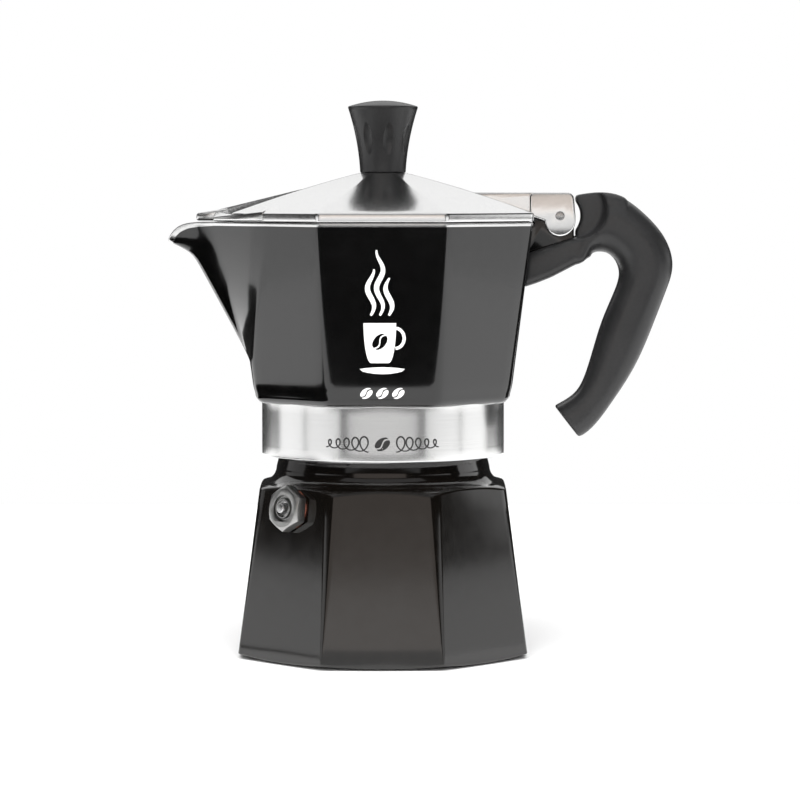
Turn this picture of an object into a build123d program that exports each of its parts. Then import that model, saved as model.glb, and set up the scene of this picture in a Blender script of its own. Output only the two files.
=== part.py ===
from build123d import *
import os
from math import asin, cos, degrees, radians, sin, sqrt

# A three-cup stove-top coffee pot: octagonal boiler and collector that screw together,
# a hinged lid, a hooked handle, and the sieve, seal and safety valve inside.
# Lengths are millimetres. Z is up, the base rests on Z = 0, and the pot's axis is the Z axis.
# The spout points to -X, the handle to +X, and one flat of each octagon faces -Y.

SIDES = 8
FLAT_TO_FRONT = 180 / SIDES
EPS = 0.01

# boiler
BASE_APOTHEM = 43.1
BOILER_TAPER = 0.1296
BASE_CORNER = 1.2
BASE_CHAMFER_RADIUS = 39.9
BASE_CHAMFER_SLOPE = 0.234
SHOULDER_Z = 51.6
SHOULDER_RADIUS = 36.4
SHOULDER_CORNER = 7.0
SHOULDER_FALL = 0.42
NECK_RADIUS = 32.0
NECK_TOP = 59.3
BOILER_WALL = 2.9
BOILER_FLOOR = 3.0
MOUTH_RADIUS = 28.5
RIM_Z = 69.0
TANK_TOP = 47.0
TANK_CONE_TOP = 55.5
TANK_CONE_RADIUS = 33.2
TANK_COVE = 2.5
TANK_FLOOR_CORNER = 3.5
TANK_TOP_CORNER = 8.0

# screw thread between boiler and collar: a round, one-start, right-hand thread
THREAD_PITCH = 3.0
THREAD_MEAN_RADIUS = 31.6
THREAD_THROW = 0.45
THREAD_CLEARANCE = 0.22

# sieve stack clamped between boiler and collector
SHEET = 0.7
FUNNEL_FLANGE_RADIUS = 30.6
BASKET_RADIUS = 28.2
BASKET_WALL = 0.9
BASKET_FLOOR_Z = 50.5
CONE_TIP_Z = 42.0
STEM_RADIUS = 5.0
STEM_WALL = 0.9
STEM_FOOT_Z = 7.0
GASKET_OUTER = 31.0
GASKET_INNER = 25.6
GASKET_THICK = 3.0
PLATE_RADIUS = 27.6
PLATE_THICK = 0.8
PLATE_GAP = 0.3
HOLE_RADIUS = 0.6
HOLE_SPACING = 3.6

# collar and collector
COLLAR_RADIUS = 36.3
COLLAR_FOOT_Z = 59.8
COLLAR_EDGE = 0.6
COLLECTOR_FOOT_Z = 75.8
COLLECTOR_FOOT_APOTHEM = 37.7
COLLECTOR_FOOT_CORNER = 6.4
COLLECTOR_FOOT_ROUND = 2.8
COLLECTOR_TOP_Z = 129.3
COLLECTOR_TOP_APOTHEM = 44.3
COLLECTOR_TOP_CORNER = 2.7
COLLECTOR_WALL = 2.2
WELL_CORNER = 6.0
WELL_ROUND = 1.5
WELL_FLOOR_Z = 77.3
DISH_TOP_Z = 78.5
COLUMN_FOOT_Z = 80.5
COLUMN_FOOT_RADIUS = 7.8
COLUMN_TOP_Z = 112.0
COLUMN_TOP_RADIUS = 5.8
COLUMN_BORE_FOOT = 4.5
COLUMN_BORE_TOP = 3.6
COLUMN_CAP = 2.4
COLUMN_CAP_BEVEL = 1.5
COLUMN_CAP_CROWN = 0.6
OUTLET_WIDTH = 5.0
OUTLET_HEIGHT = 4.5

# spout: a prow on the -X side whose two walls carry on from the +-45 degree facets at the rim
PROW_FOOT_Z = 88.3
PROW_FOOT_EDGE = (-38.9, 16.1)
PROW_TOP_EDGE = (-33.6, 29.2)
PROW_RIDGE_FOOT_X = -39.7
PROW_RIDGE_SLOPE = 0.543
PROW_BACK_X = -24.0
BEAK_START_Z = 117.5
BEAK = ((120.1, 0.7), (121.7, 2.5), (122.6, 4.1), (123.2, 5.0), (123.8, 5.6))
BEAK_SHARE = 0.72
BEAK_HALF_WIDTH = 2.6
PROW_INSET_SHARE = 0.4
LIP_PROFILE = (
    (-50.1, 129.3), (-56.5, 129.2), (-59.3, 128.8), (-62.0, 127.5), (-63.9, 124.9), (-64.5, 123.8),
    (-66.0, 118.5),
)

# lid
LID_APOTHEM = 44.5
LID_FOOT_Z = 129.6
LID_BAND_TOP_Z = 132.0
LID_CORNER = 2.7
LID_SECTIONS = ((132.0, 44.5), (134.9, 36.5), (137.9, 27.0), (140.7, 17.5), (143.9, 6.8))
LID_APEX_Z = 143.9
LID_APEX_CORNER = 1.0
LID_WALL = 1.9
LID_BAND_WALL = 2.2
LID_EAVE_DROP = 1.3
LID_INNER_STEP = 0.5
SCREW_HOLE_RADIUS = 2.1

# spout cover on the lid: a roof with a middle ridge, ending in a narrow nose
COVER_RIDGE_X = -47.0
COVER_RIDGE_Z = 133.5
COVER_FALL_X = 0.245
COVER_FALL_Y = 0.142
COVER_STATIONS = ((-24.0, 2.0), (-29.2, 13.6), (-34.8, 28.2), (-50.1, 12.9))
COVER_WALL = 1.7
COVER_SIDE_WALL = 2.3
COVER_LEAST_HALF = 0.5
NOSE_ROOT = (-46.0, 6.0, 133.4)
NOSE_TIP = (-55.6, 4.2, 131.9)
NOSE_ROUND = 0.8

# hinge
PIN_X = 52.6
PIN_Z = 131.1
PIN_RADIUS = 1.3
PIN_CLEARANCE = 0.08
PIN_FIT = 0.03
PIN_HALF_LENGTH = 8.5
RIB_TOP_Z = 138.0
RIB_HALF_WIDTH = 6.0
RIB_ROOT_X = 26.0
EAR_FRONT_X = 43.6
EAR_BACK_X = 57.2
EAR_OUTER = 8.4
EAR_INNER = 4.2
EAR_BOTTOM_Z = 125.0
EAR_HALF_WIDTH = 4.6
EAR_CORNER = 2.0
EAR_LEAN = 0.4
BRIDGE_BACK_X = 45.0
BRIDGE_FOOT_Z = 131.3

# hinge lug and tang cast on the back of the collector
LUG_HALF_WIDTH = 3.8
LUG_TOP_Z = 130.7
LUG_BOSS_RADIUS = 4.4
LUG_ROOT_X = 40.5
LUG_FACE_X = 44.95
LUG_HEEL_RISE = 1.2
LID_REST = 0.3
TANG_BOTTOM_Z = 118.5
TANG_TOP_Z = 123.6
TANG_END_X = 61.0

# handle
HANDLE_HALF_WIDTH = 8.6
ARM_OUTLINE = (
    (40.5, 109.3), (45.8, 111.0), (50.3, 112.8), (57.0, 116.3), (62.0, 119.0),
    (62.0, 126.6), (54.8, 124.1), (48.6, 121.9), (43.8, 120.2), (40.5, 119.0),
)
ARM_SIDE = 7.8
ARM_ROUND = 2.6
HANDLE_STATIONS = (
    ((57.3, 116.5), (54.8, 124.2), 7.8),
    ((61.5, 119.2), (60.6, 129.6), 8.4),
    ((65.2, 120.4), (69.0, 137.3), 8.8),
    ((68.0, 119.5), (78.3, 131.5), 8.8),
    ((70.0, 117.0), (84.7, 123.6), 8.6),
    ((70.8, 113.6), (86.6, 116.8), 8.5),
    ((69.3, 108.2), (84.8, 109.0), 8.4),
    ((65.4, 98.6), (79.9, 96.2), 8.2),
    ((61.2, 84.6), (73.4, 82.7), 8.0),
    ((58.6, 78.9), (68.4, 75.2), 8.0),
    ((55.2, 75.9), (63.6, 68.8), 8.1),
    ((51.6, 73.9), (58.6, 64.9), 8.3),
)
HANDLE_SQUARENESS = 0.42
NOSE_BLOCK_FRONT_X = 57.6
NOSE_BLOCK_TOP = ((57.6, 137.2), (62.0, 137.9), (67.0, 138.0), (72.6, 136.2))
NOSE_BLOCK_FOOT_Z = 122.0
NOSE_BLOCK_HALF_WIDTH = 7.6
NOSE_BLOCK_ROUND = 3.0
SCALLOP_X = 57.0
SCALLOP_Z = 133.5
SCALLOP_RADIUS = 8.7
SCALLOP_FLARE_RADIUS = 10.2
SCALLOP_FLOOR = 3.9
FIT_GAP = 0.1

# handle screw, up through the lower arm into the tang
SCREW_X = 49.5
SCREW_SEAT_Z = 116.2
SCREW_RADIUS = 1.5
SCREW_TIP_Z = 122.5
SCREW_HEAD_RADIUS = 3.0
SCREW_HEAD_HEIGHT = 1.7
WASHER_THICK = 0.5
SLOT_WIDTH = 0.8
SLOT_DEPTH = 0.8
HEAD_CLEARANCE = 0.4

# knob
KNOB_FOOT_Z = 143.9
KNOB_FOOT_RADIUS = 6.8
KNOB_WAIST = (7.95, 153.6)
KNOB_EDGE_Z = 163.3
KNOB_EDGE_RADIUS = 10.4
KNOB_EDGE_ROUND = 0.5
KNOB_TOP_Z = 165.4
FLUTES = 8
FLUTE_FIRST_ANGLE = -78.0
FLUTE_MID_Z = 153.4
FLUTE_MID_RADIUS = 9.95
FLUTE_HALF_LENGTH = 8.2
FLUTE_RADIUS = 2.7
FLUTE_TILT = 9.5
INSERT_RADIUS = 3.2
INSERT_HEIGHT = 7.6
INSERT_RECESS = 0.3
KNOB_SCREW_RADIUS = 1.9
KNOB_SCREW_TIP_Z = 150.5

# safety valve, square to the facet that faces -X and -Y
VALVE_Z = 45.5
VALVE_AZIMUTH = 225.0
VALVE_HOLE_RADIUS = 4.55
VALVE_SHANK_RADIUS = 4.5
VALVE_SHANK_DEPTH = 6.0
VALVE_HEX_ACROSS = 12.0
VALVE_HEX_HEIGHT = 3.6
VALVE_HEX_BEVEL_SLOPE = 1.7
VALVE_HEX_BEVEL_FACE = 0.5
VALVE_HEX_BEVEL_DEPTH = 1.4
VALVE_WASHER_THICK = 0.6
VALVE_WASHER_RADIUS = 5.8
VALVE_RECESS_RADIUS = 3.85
VALVE_RECESS_DEPTH = 1.2
VALVE_SLEEVE_RADIUS = 2.95
VALVE_BORE_RADIUS = 2.5
VALVE_SEAT_DEPTH = 4.6
VALVE_PORT_RADIUS = 1.2
VALVE_PIN_RADIUS = 1.5
VALVE_PIN_CLEARANCE = 0.05
VALVE_PIN_TOP = 5.4
VALVE_PIN_CHAMFER = 0.3
VALVE_FLANGE_RADIUS = 2.25
VALVE_FLANGE_THICK = 0.8
VALVE_SEAL_THICK = 0.8
RETAINER_FOOT = 2.4
RETAINER_THICK = 0.8
SPRING_RADIUS = 1.92
SPRING_WIRE = 0.22
SPRING_PITCH = 1.2
SPRING_END_GAP = 0.05

OUT_DIR = "parts"


def save(shape, node):
    """Writes one named piece."""
    export_step(shape, os.path.join(OUT_DIR, node + ".step"))


def octagon(apothem, z, corner):
    """A rounded octagon lying level at z, one flat to the front."""
    outline = RegularPolygon(apothem, SIDES, major_radius=False, rotation=FLAT_TO_FRONT)
    return Plane.XY.offset(z) * fillet(outline.vertices(), corner)


def turned(*points):
    """A solid of revolution about the pot's axis, from (radius, z) corners."""
    return revolve(Plane.XZ * make_face(Polyline(*points, close=True)), Axis.Z)


def turned_curve(*edges):
    """A solid of revolution about the pot's axis, from a closed chain of edges in (radius, z)."""
    return revolve(Plane.XZ * make_face(Curve() + list(edges)), Axis.Z)


def slab(outline, half_width, inner=0.0):
    """An (x, z) outline made as thick as the pot's middle web, or as two cheeks beside it."""
    face = Plane.XZ * outline
    if inner == 0.0:
        return extrude(face, half_width, both=True)
    cheek = extrude(Plane.XZ.offset(inner) * outline, half_width - inner)
    return cheek + mirror(cheek, Plane.XZ)


def side_outline(*points):
    """A straight-sided (x, z) outline."""
    return make_face(Polyline(*points, close=True))


def cross_hole(x, z, radius, half_width):
    """A round hole along Y."""
    return slab(Pos(x, z) * Circle(radius), half_width)


def round_thread(radius, foot, top):
    """A round thread: an eccentric disc that turns once per pitch as it rises."""
    disc = Pos(THREAD_THROW, 0) * Circle(radius)
    start = Rot(0, 0, 360 * (foot - COLLAR_FOOT_Z) / THREAD_PITCH) * disc
    turn = 360 * (top - foot) / THREAD_PITCH
    return Pos(0, 0, foot) * Solid.extrude_linear_with_rotation(
        start.face(), (0, 0, 0), (0, 0, top - foot), turn
    )


def perforated_disc(radius, thickness, z, rings):
    """A thin disc with rings of small holes."""
    disc = Circle(radius)
    holes = [Pos(0, 0)]
    for ring in range(1, rings + 1):
        holes += PolarLocations(ring * HOLE_SPACING, 6 * ring).locations
    return Pos(0, 0, z) * extrude(disc - holes * Circle(HOLE_RADIUS), thickness)


def boiler_apothem(z):
    return BASE_APOTHEM - BOILER_TAPER * z


def collector_apothem(z):
    share = (z - COLLECTOR_FOOT_Z) / (COLLECTOR_TOP_Z - COLLECTOR_FOOT_Z)
    return COLLECTOR_FOOT_APOTHEM + share * (COLLECTOR_TOP_APOTHEM - COLLECTOR_FOOT_APOTHEM)


def well_apothem(z):
    return collector_apothem(z) - COLLECTOR_WALL


def valve_plane():
    """The valve's own frame: on the boiler's facet, Z outwards and square to it."""
    around = radians(VALVE_AZIMUTH)
    reach = boiler_apothem(VALVE_Z)
    seat = (reach * cos(around), reach * sin(around), VALVE_Z)
    outward = (cos(around), sin(around), BOILER_TAPER)
    tangent = (sin(around), -cos(around), 0)
    return Plane(origin=seat, x_dir=tangent, z_dir=outward)


def boiler():
    """The lower chamber: cast octagon, turned shoulder, neck and threaded mouth."""
    top = NECK_TOP
    body = loft(
        [octagon(BASE_APOTHEM, 0, BASE_CORNER), octagon(boiler_apothem(top), top, SHOULDER_CORNER)],
        ruled=True,
    )
    far = 60.0
    neck_foot = SHOULDER_Z + SHOULDER_RADIUS - NECK_RADIUS
    shoulder_cut = turned_curve(
        Line((NECK_RADIUS, far), (NECK_RADIUS, neck_foot)),
        CenterArc((SHOULDER_RADIUS, neck_foot), SHOULDER_RADIUS - NECK_RADIUS, 180, 90),
        Line((SHOULDER_RADIUS, SHOULDER_Z), (far, SHOULDER_Z - SHOULDER_FALL * (far - SHOULDER_RADIUS))),
        Line((far, SHOULDER_Z - SHOULDER_FALL * (far - SHOULDER_RADIUS)), (far, far)),
        Line((far, far), (NECK_RADIUS, far)),
    )
    chamfer_rise = BASE_CHAMFER_SLOPE * (far - BASE_CHAMFER_RADIUS)
    base_cut = turned((BASE_CHAMFER_RADIUS, 0), (far, chamfer_rise), (far, -1), (BASE_CHAMFER_RADIUS, -1))
    body = body - shoulder_cut - base_cut
    body = body + round_thread(THREAD_MEAN_RADIUS, NECK_TOP - EPS, RIM_Z)
    tank = loft(
        [
            octagon(boiler_apothem(BOILER_FLOOR) - 2 * BOILER_WALL, BOILER_FLOOR, TANK_FLOOR_CORNER),
            octagon(boiler_apothem(BOILER_FLOOR) - BOILER_WALL, BOILER_FLOOR + TANK_COVE, TANK_FLOOR_CORNER),
            octagon(boiler_apothem(TANK_TOP) - BOILER_WALL, TANK_TOP, TANK_TOP_CORNER),
        ],
        ruled=True,
    )
    mouth = turned(
        (0, TANK_TOP - EPS),
        (TANK_CONE_RADIUS, TANK_TOP - EPS),
        (MOUTH_RADIUS, TANK_CONE_TOP),
        (MOUTH_RADIUS, RIM_Z + 1),
        (0, RIM_Z + 1),
    )
    hole = valve_plane() * Cylinder(VALVE_HOLE_RADIUS, 6 * BOILER_WALL)
    return body - tank - mouth - hole


def safety_valve_body():
    """Hexagon head, threaded shank, and the bore that the stem slides in."""
    top = VALVE_WASHER_THICK + VALVE_HEX_HEIGHT
    hexagon = Pos(0, 0, VALVE_WASHER_THICK) * extrude(
        RegularPolygon(VALVE_HEX_ACROSS / 2, 6, major_radius=False, rotation=30), VALVE_HEX_HEIGHT
    )
    corner = VALVE_HEX_ACROSS / sqrt(3)
    face = VALVE_HEX_ACROSS / 2 - VALVE_HEX_BEVEL_FACE
    crown = Pos(0, 0, top) * Cone(
        face + VALVE_HEX_HEIGHT * VALVE_HEX_BEVEL_SLOPE, face, VALVE_HEX_HEIGHT,
        align=(Align.CENTER, Align.CENTER, Align.MAX),
    )
    head = hexagon & (crown + Cylinder(corner, 2 * (top - VALVE_HEX_BEVEL_DEPTH)))
    shank = Pos(0, 0, VALVE_WASHER_THICK) * Cylinder(
        VALVE_SHANK_RADIUS, VALVE_SHANK_DEPTH + VALVE_WASHER_THICK,
        align=(Align.CENTER, Align.CENTER, Align.MAX),
    )
    ring = Cylinder(VALVE_RECESS_RADIUS, 2 * VALVE_RECESS_DEPTH) - Cylinder(
        VALVE_SLEEVE_RADIUS, 2 * VALVE_RECESS_DEPTH
    )
    bore = Pos(0, 0, -VALVE_SEAT_DEPTH) * Cylinder(
        VALVE_BORE_RADIUS, top + VALVE_SEAT_DEPTH + 1, align=(Align.CENTER, Align.CENTER, Align.MIN)
    )
    port = Cylinder(VALVE_PORT_RADIUS, 3 * VALVE_SHANK_DEPTH)
    return valve_plane() * (head + shank - Pos(0, 0, top) * ring - bore - port)


def valve_disc(outer, inner, foot, thickness):
    """A washer-like ring on the valve's axis; inner 0 makes a plain disc."""
    ring = Circle(outer) if inner == 0 else Circle(outer) - Circle(inner)
    return valve_plane() * (Pos(0, 0, foot) * extrude(ring, thickness))


def valve_stem():
    """The pin that shows in the middle of the valve, with the flange its spring presses on."""
    flange_foot = VALVE_SEAL_THICK - VALVE_SEAT_DEPTH
    flange = Pos(0, 0, flange_foot) * extrude(Circle(VALVE_FLANGE_RADIUS), VALVE_FLANGE_THICK)
    pin = Pos(0, 0, flange_foot) * extrude(Circle(VALVE_PIN_RADIUS), VALVE_PIN_TOP - flange_foot)
    pin = chamfer(pin.faces().sort_by(Axis.Z)[-1].edges(), VALVE_PIN_CHAMFER)
    return valve_plane() * (flange + pin)


def valve_spring():
    """A helical spring between the stem's flange and the retainer."""
    foot = VALVE_SEAL_THICK - VALVE_SEAT_DEPTH + VALVE_FLANGE_THICK + SPRING_WIRE + SPRING_END_GAP
    height = RETAINER_FOOT - SPRING_WIRE - SPRING_END_GAP - foot
    coil = Helix(pitch=SPRING_PITCH, height=height, radius=SPRING_RADIUS)
    wire = Plane(origin=coil @ 0, z_dir=coil % 0) * Circle(SPRING_WIRE)
    return valve_plane() * (Pos(0, 0, foot) * sweep(wire, path=coil, is_frenet=True))


def funnel():
    """The coffee basket with its flange, and the long stem that dips into the water."""
    inner = BASKET_RADIUS - BASKET_WALL
    floor_top = BASKET_FLOOR_Z + SHEET
    stem_bore = STEM_RADIUS - STEM_WALL
    return turned(
        (FUNNEL_FLANGE_RADIUS, RIM_Z),
        (FUNNEL_FLANGE_RADIUS, RIM_Z + SHEET),
        (inner, RIM_Z + SHEET),
        (inner, floor_top),
        (stem_bore, CONE_TIP_Z + SHEET),
        (stem_bore, STEM_FOOT_Z),
        (STEM_RADIUS, STEM_FOOT_Z),
        (STEM_RADIUS, CONE_TIP_Z),
        (BASKET_RADIUS, BASKET_FLOOR_Z),
        (BASKET_RADIUS, RIM_Z),
    )


def prow(inset):
    """The spout's prow, from its foot to the rim; inset moves its walls inwards."""
    def edge(z):
        share = (z - PROW_FOOT_Z) / (COLLECTOR_TOP_Z - PROW_FOOT_Z)
        x = PROW_FOOT_EDGE[0] + share * (PROW_TOP_EDGE[0] - PROW_FOOT_EDGE[0])
        y = PROW_FOOT_EDGE[1] + share * (PROW_TOP_EDGE[1] - PROW_FOOT_EDGE[1])
        return x + inset * PROW_INSET_SHARE, y - inset

    def level(z, beak):
        ex, ey = edge(z)
        ridge = PROW_RIDGE_FOOT_X - PROW_RIDGE_SLOPE * (z - PROW_FOOT_Z) + inset * sqrt(2)
        mid = (ex + BEAK_SHARE * (ridge - ex), ey * (1 - BEAK_SHARE))
        tip = ridge - beak
        half = min(BEAK_HALF_WIDTH, mid[1] / 2)
        corners = [(PROW_BACK_X, ey), (ex, ey), mid, (tip, half)]
        return Plane.XY.offset(z) * make_face(
            Polyline(*corners, *[(x, -y) for x, y in reversed(corners)], close=True)
        )

    steps = [(PROW_FOOT_Z, 0.0), (BEAK_START_Z, 0.0)]
    steps += list(BEAK)
    overshoot = 1.0 if inset else 0.0
    steps += [(COLLECTOR_TOP_Z + overshoot, BEAK[-1][1])]
    return loft([level(z, beak) for z, beak in steps], ruled=True)


def collar_inside():
    """Everything turned out of the collar from below: thread, seal seat and dish."""
    seat_z = RIM_Z + SHEET + GASKET_THICK
    plate_top = seat_z + PLATE_THICK + PLATE_GAP
    thread = round_thread(THREAD_MEAN_RADIUS + THREAD_CLEARANCE, COLLAR_FOOT_Z - 1, RIM_Z + 1)
    bowl = turned(
        (0, RIM_Z),
        (GASKET_OUTER + THREAD_CLEARANCE, RIM_Z),
        (GASKET_OUTER + THREAD_CLEARANCE, seat_z),
        (PLATE_RADIUS + PLATE_GAP, seat_z),
        (PLATE_RADIUS + PLATE_GAP, plate_top),
        (GASKET_INNER, plate_top),
        (COLUMN_BORE_FOOT, DISH_TOP_Z),
        (0, DISH_TOP_Z),
    )
    return thread + bowl


def collector_lug():
    """Hinge lug and handle tang: one flat web standing on the back of the collector."""
    web = side_outline(
        (LUG_ROOT_X, TANG_BOTTOM_Z),
        (TANG_END_X, TANG_BOTTOM_Z),
        (TANG_END_X, TANG_TOP_Z),
        (PIN_X + LUG_BOSS_RADIUS, TANG_TOP_Z + LUG_HEEL_RISE),
        (PIN_X + LUG_BOSS_RADIUS, PIN_Z),
        (PIN_X, LUG_TOP_Z),
        (LUG_FACE_X, LUG_TOP_Z),
        (LUG_FACE_X, COLLECTOR_TOP_Z - LID_REST),
        (LUG_ROOT_X, COLLECTOR_TOP_Z - LID_REST),
    )
    boss = Pos(PIN_X, PIN_Z) * Circle(LUG_BOSS_RADIUS)
    bore = cross_hole(PIN_X, PIN_Z, PIN_RADIUS + PIN_CLEARANCE, 2 * LUG_HALF_WIDTH)
    screw_hole = Pos(SCREW_X, 0, TANG_BOTTOM_Z) * Cylinder(
        SCREW_RADIUS + FIT_GAP / 2, 2 * (SCREW_TIP_Z + 0.5 - TANG_BOTTOM_Z)
    )
    return slab(web + boss, LUG_HALF_WIDTH) - bore - screw_hole


def collector():
    """The upper chamber: bright turned collar, octagonal jug, spout, column, lug and tang."""
    jug = loft(
        [
            octagon(COLLECTOR_FOOT_APOTHEM, COLLECTOR_FOOT_Z, COLLECTOR_FOOT_CORNER),
            octagon(COLLECTOR_TOP_APOTHEM, COLLECTOR_TOP_Z, COLLECTOR_TOP_CORNER),
        ],
        ruled=True,
    )
    jug = fillet(jug.faces().sort_by(Axis.Z)[0].edges(), COLLECTOR_FOOT_ROUND)
    collar = Pos(0, 0, COLLAR_FOOT_Z) * Cylinder(
        COLLAR_RADIUS, WELL_FLOOR_Z - COLLAR_FOOT_Z, align=(Align.CENTER, Align.CENTER, Align.MIN)
    )
    collar = fillet(collar.edges().filter_by(GeomType.CIRCLE).sort_by(Axis.Z)[0], COLLAR_EDGE)
    shell = jug + collar + prow(0) + collector_lug()
    well = loft(
        [
            octagon(well_apothem(WELL_FLOOR_Z) - WELL_ROUND, WELL_FLOOR_Z, WELL_CORNER),
            octagon(well_apothem(WELL_FLOOR_Z + WELL_ROUND), WELL_FLOOR_Z + WELL_ROUND, WELL_CORNER),
            octagon(well_apothem(COLLECTOR_TOP_Z + 1), COLLECTOR_TOP_Z + 1, COLLECTOR_TOP_CORNER),
        ],
        ruled=True,
    )
    cone_radius = well_apothem(WELL_FLOOR_Z) - 2 * WELL_ROUND
    column = turned(
        (0, WELL_FLOOR_Z - 1),
        (cone_radius, WELL_FLOOR_Z - 1),
        (cone_radius, WELL_FLOOR_Z),
        (COLUMN_FOOT_RADIUS, COLUMN_FOOT_Z),
        (COLUMN_TOP_RADIUS, COLUMN_TOP_Z),
        (COLUMN_TOP_RADIUS - COLUMN_CAP_BEVEL, COLUMN_TOP_Z + COLUMN_CAP),
        (0, COLUMN_TOP_Z + COLUMN_CAP + COLUMN_CAP_CROWN),
    )
    bore = turned(
        (0, DISH_TOP_Z - 1),
        (COLUMN_BORE_FOOT, DISH_TOP_Z - 1),
        (COLUMN_BORE_TOP, COLUMN_TOP_Z),
        (0, COLUMN_TOP_Z),
    )
    outlets = Pos(0, 0, COLUMN_TOP_Z - OUTLET_HEIGHT / 2) * Box(
        OUTLET_WIDTH, 4 * COLUMN_TOP_RADIUS, OUTLET_HEIGHT
    )
    top = COLLECTOR_TOP_Z + 5
    lip_trim = slab(
        side_outline((LIP_PROFILE[0][0], top), *LIP_PROFILE, (-80, LIP_PROFILE[-1][1]), (-80, top)), 30
    )
    shell = shell - well - prow(COLLECTOR_WALL) - lip_trim
    return shell + column - bore - outlets - collar_inside()


def cover_roof(drop, narrow, foot):
    """The roof over the spout, as cross-sections that follow its ridge outwards."""
    sections = []
    for x, half in COVER_STATIONS:
        ridge = COVER_RIDGE_Z + COVER_FALL_X * (x - COVER_RIDGE_X) - drop
        half_width = max(half - narrow, COVER_LEAST_HALF)
        eave = ridge - COVER_FALL_Y * half_width
        section = make_face(
            Polyline(
                (-half_width, foot), (-half_width, eave), (0, ridge), (half_width, eave),
                (half_width, foot), close=True,
            )
        )
        sections.append(Plane(origin=(x, 0, 0), x_dir=(0, 1, 0), z_dir=(1, 0, 0)) * section)
    return loft(sections, ruled=True)


def lid_nose():
    """The narrow end of the spout cover."""
    sections = []
    for x, half, top in (NOSE_ROOT, NOSE_TIP):
        height = top - LID_FOOT_Z
        plane = Plane(origin=(x, 0, LID_FOOT_Z + height / 2), x_dir=(0, 1, 0), z_dir=(1, 0, 0))
        sections.append(plane * RectangleRounded(2 * half, height, NOSE_ROUND))
    return loft(sections, ruled=True)


def lid_ears():
    """The hinge end of the lid: a rib, a cross wall and two ears that hold the pin."""
    rib = side_outline(
        (RIB_ROOT_X, LID_BAND_TOP_Z),
        (RIB_ROOT_X, RIB_TOP_Z),
        (BRIDGE_BACK_X, RIB_TOP_Z),
        (BRIDGE_BACK_X, BRIDGE_FOOT_Z),
        (LID_APOTHEM - 1.0, BRIDGE_FOOT_Z),
    )
    block = Polyline(
        (EAR_FRONT_X, PIN_Z), (EAR_FRONT_X, RIB_TOP_Z), (EAR_BACK_X - EAR_LEAN, RIB_TOP_Z),
        (EAR_BACK_X, PIN_Z), (PIN_X + EAR_HALF_WIDTH, EAR_BOTTOM_Z + EAR_HALF_WIDTH),
    )
    round_foot = CenterArc((PIN_X, EAR_BOTTOM_Z + EAR_HALF_WIDTH), EAR_HALF_WIDTH, 0, -180)
    back = Polyline((PIN_X - EAR_HALF_WIDTH, EAR_BOTTOM_Z + EAR_HALF_WIDTH),
                    (PIN_X - EAR_HALF_WIDTH, PIN_Z), (EAR_FRONT_X, PIN_Z))
    ear = make_face(Curve() + [block, round_foot, back])
    tops = ear.vertices().group_by(Axis.Y)[-1]
    ear = fillet(tops, EAR_CORNER)
    ears = slab(ear, EAR_OUTER, EAR_INNER)
    bore = cross_hole(PIN_X, PIN_Z, PIN_RADIUS + PIN_FIT, 2 * EAR_OUTER)
    bridge = slab(
        side_outline(
            (EAR_FRONT_X, BRIDGE_FOOT_Z), (EAR_FRONT_X, RIB_TOP_Z),
            (BRIDGE_BACK_X, RIB_TOP_Z), (BRIDGE_BACK_X, BRIDGE_FOOT_Z),
        ),
        EAR_OUTER,
    )
    return slab(rib, RIB_HALF_WIDTH) + bridge + ears - bore


def lid():
    """The polished lid: a shallow eight-sided roof with spout cover, hinge arm and ears."""
    outer = [octagon(LID_APOTHEM, LID_FOOT_Z, LID_CORNER)]
    inner = [octagon(LID_APOTHEM - LID_BAND_WALL, LID_FOOT_Z - 1, LID_CORNER)]
    inner += [octagon(LID_APOTHEM - LID_BAND_WALL, LID_BAND_TOP_Z - LID_EAVE_DROP, LID_CORNER)]
    for z, apothem in LID_SECTIONS:
        share = (apothem - LID_SECTIONS[-1][1]) / (LID_APOTHEM - LID_SECTIONS[-1][1])
        corner = LID_APEX_CORNER + share * (LID_CORNER - LID_APEX_CORNER)
        outer.append(octagon(apothem, z, corner))
        if apothem < LID_APOTHEM - LID_BAND_WALL:
            inner.append(octagon(apothem - LID_INNER_STEP, z - LID_WALL, corner))
    roof = loft(outer, ruled=True) + cover_roof(0, 0, LID_FOOT_Z) + lid_nose()
    hollow = loft(inner, ruled=True) + cover_roof(COVER_WALL, COVER_SIDE_WALL, LID_FOOT_Z - 1)
    hole = Pos(0, 0, LID_APEX_Z) * Cylinder(SCREW_HOLE_RADIUS, 4 * LID_WALL)
    ears = lid_ears() - loft(inner, ruled=True)
    return roof - hollow - hole + ears


def hinge_pin():
    """The lid's hinge pin, tight in the ears and free in the lug."""
    return cross_hole(PIN_X, PIN_Z, PIN_RADIUS, PIN_HALF_LENGTH)


def flute_cutter():
    """A spindle that scoops one leaf-shaped flute out of the knob's side."""
    bulge = ThreePointArc((0, -FLUTE_HALF_LENGTH), (FLUTE_RADIUS, 0), (0, FLUTE_HALF_LENGTH))
    half = make_face(Curve() + [bulge, Line((0, FLUTE_HALF_LENGTH), (0, -FLUTE_HALF_LENGTH))])
    return revolve(Plane.XZ * half, Axis.Z)


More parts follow.
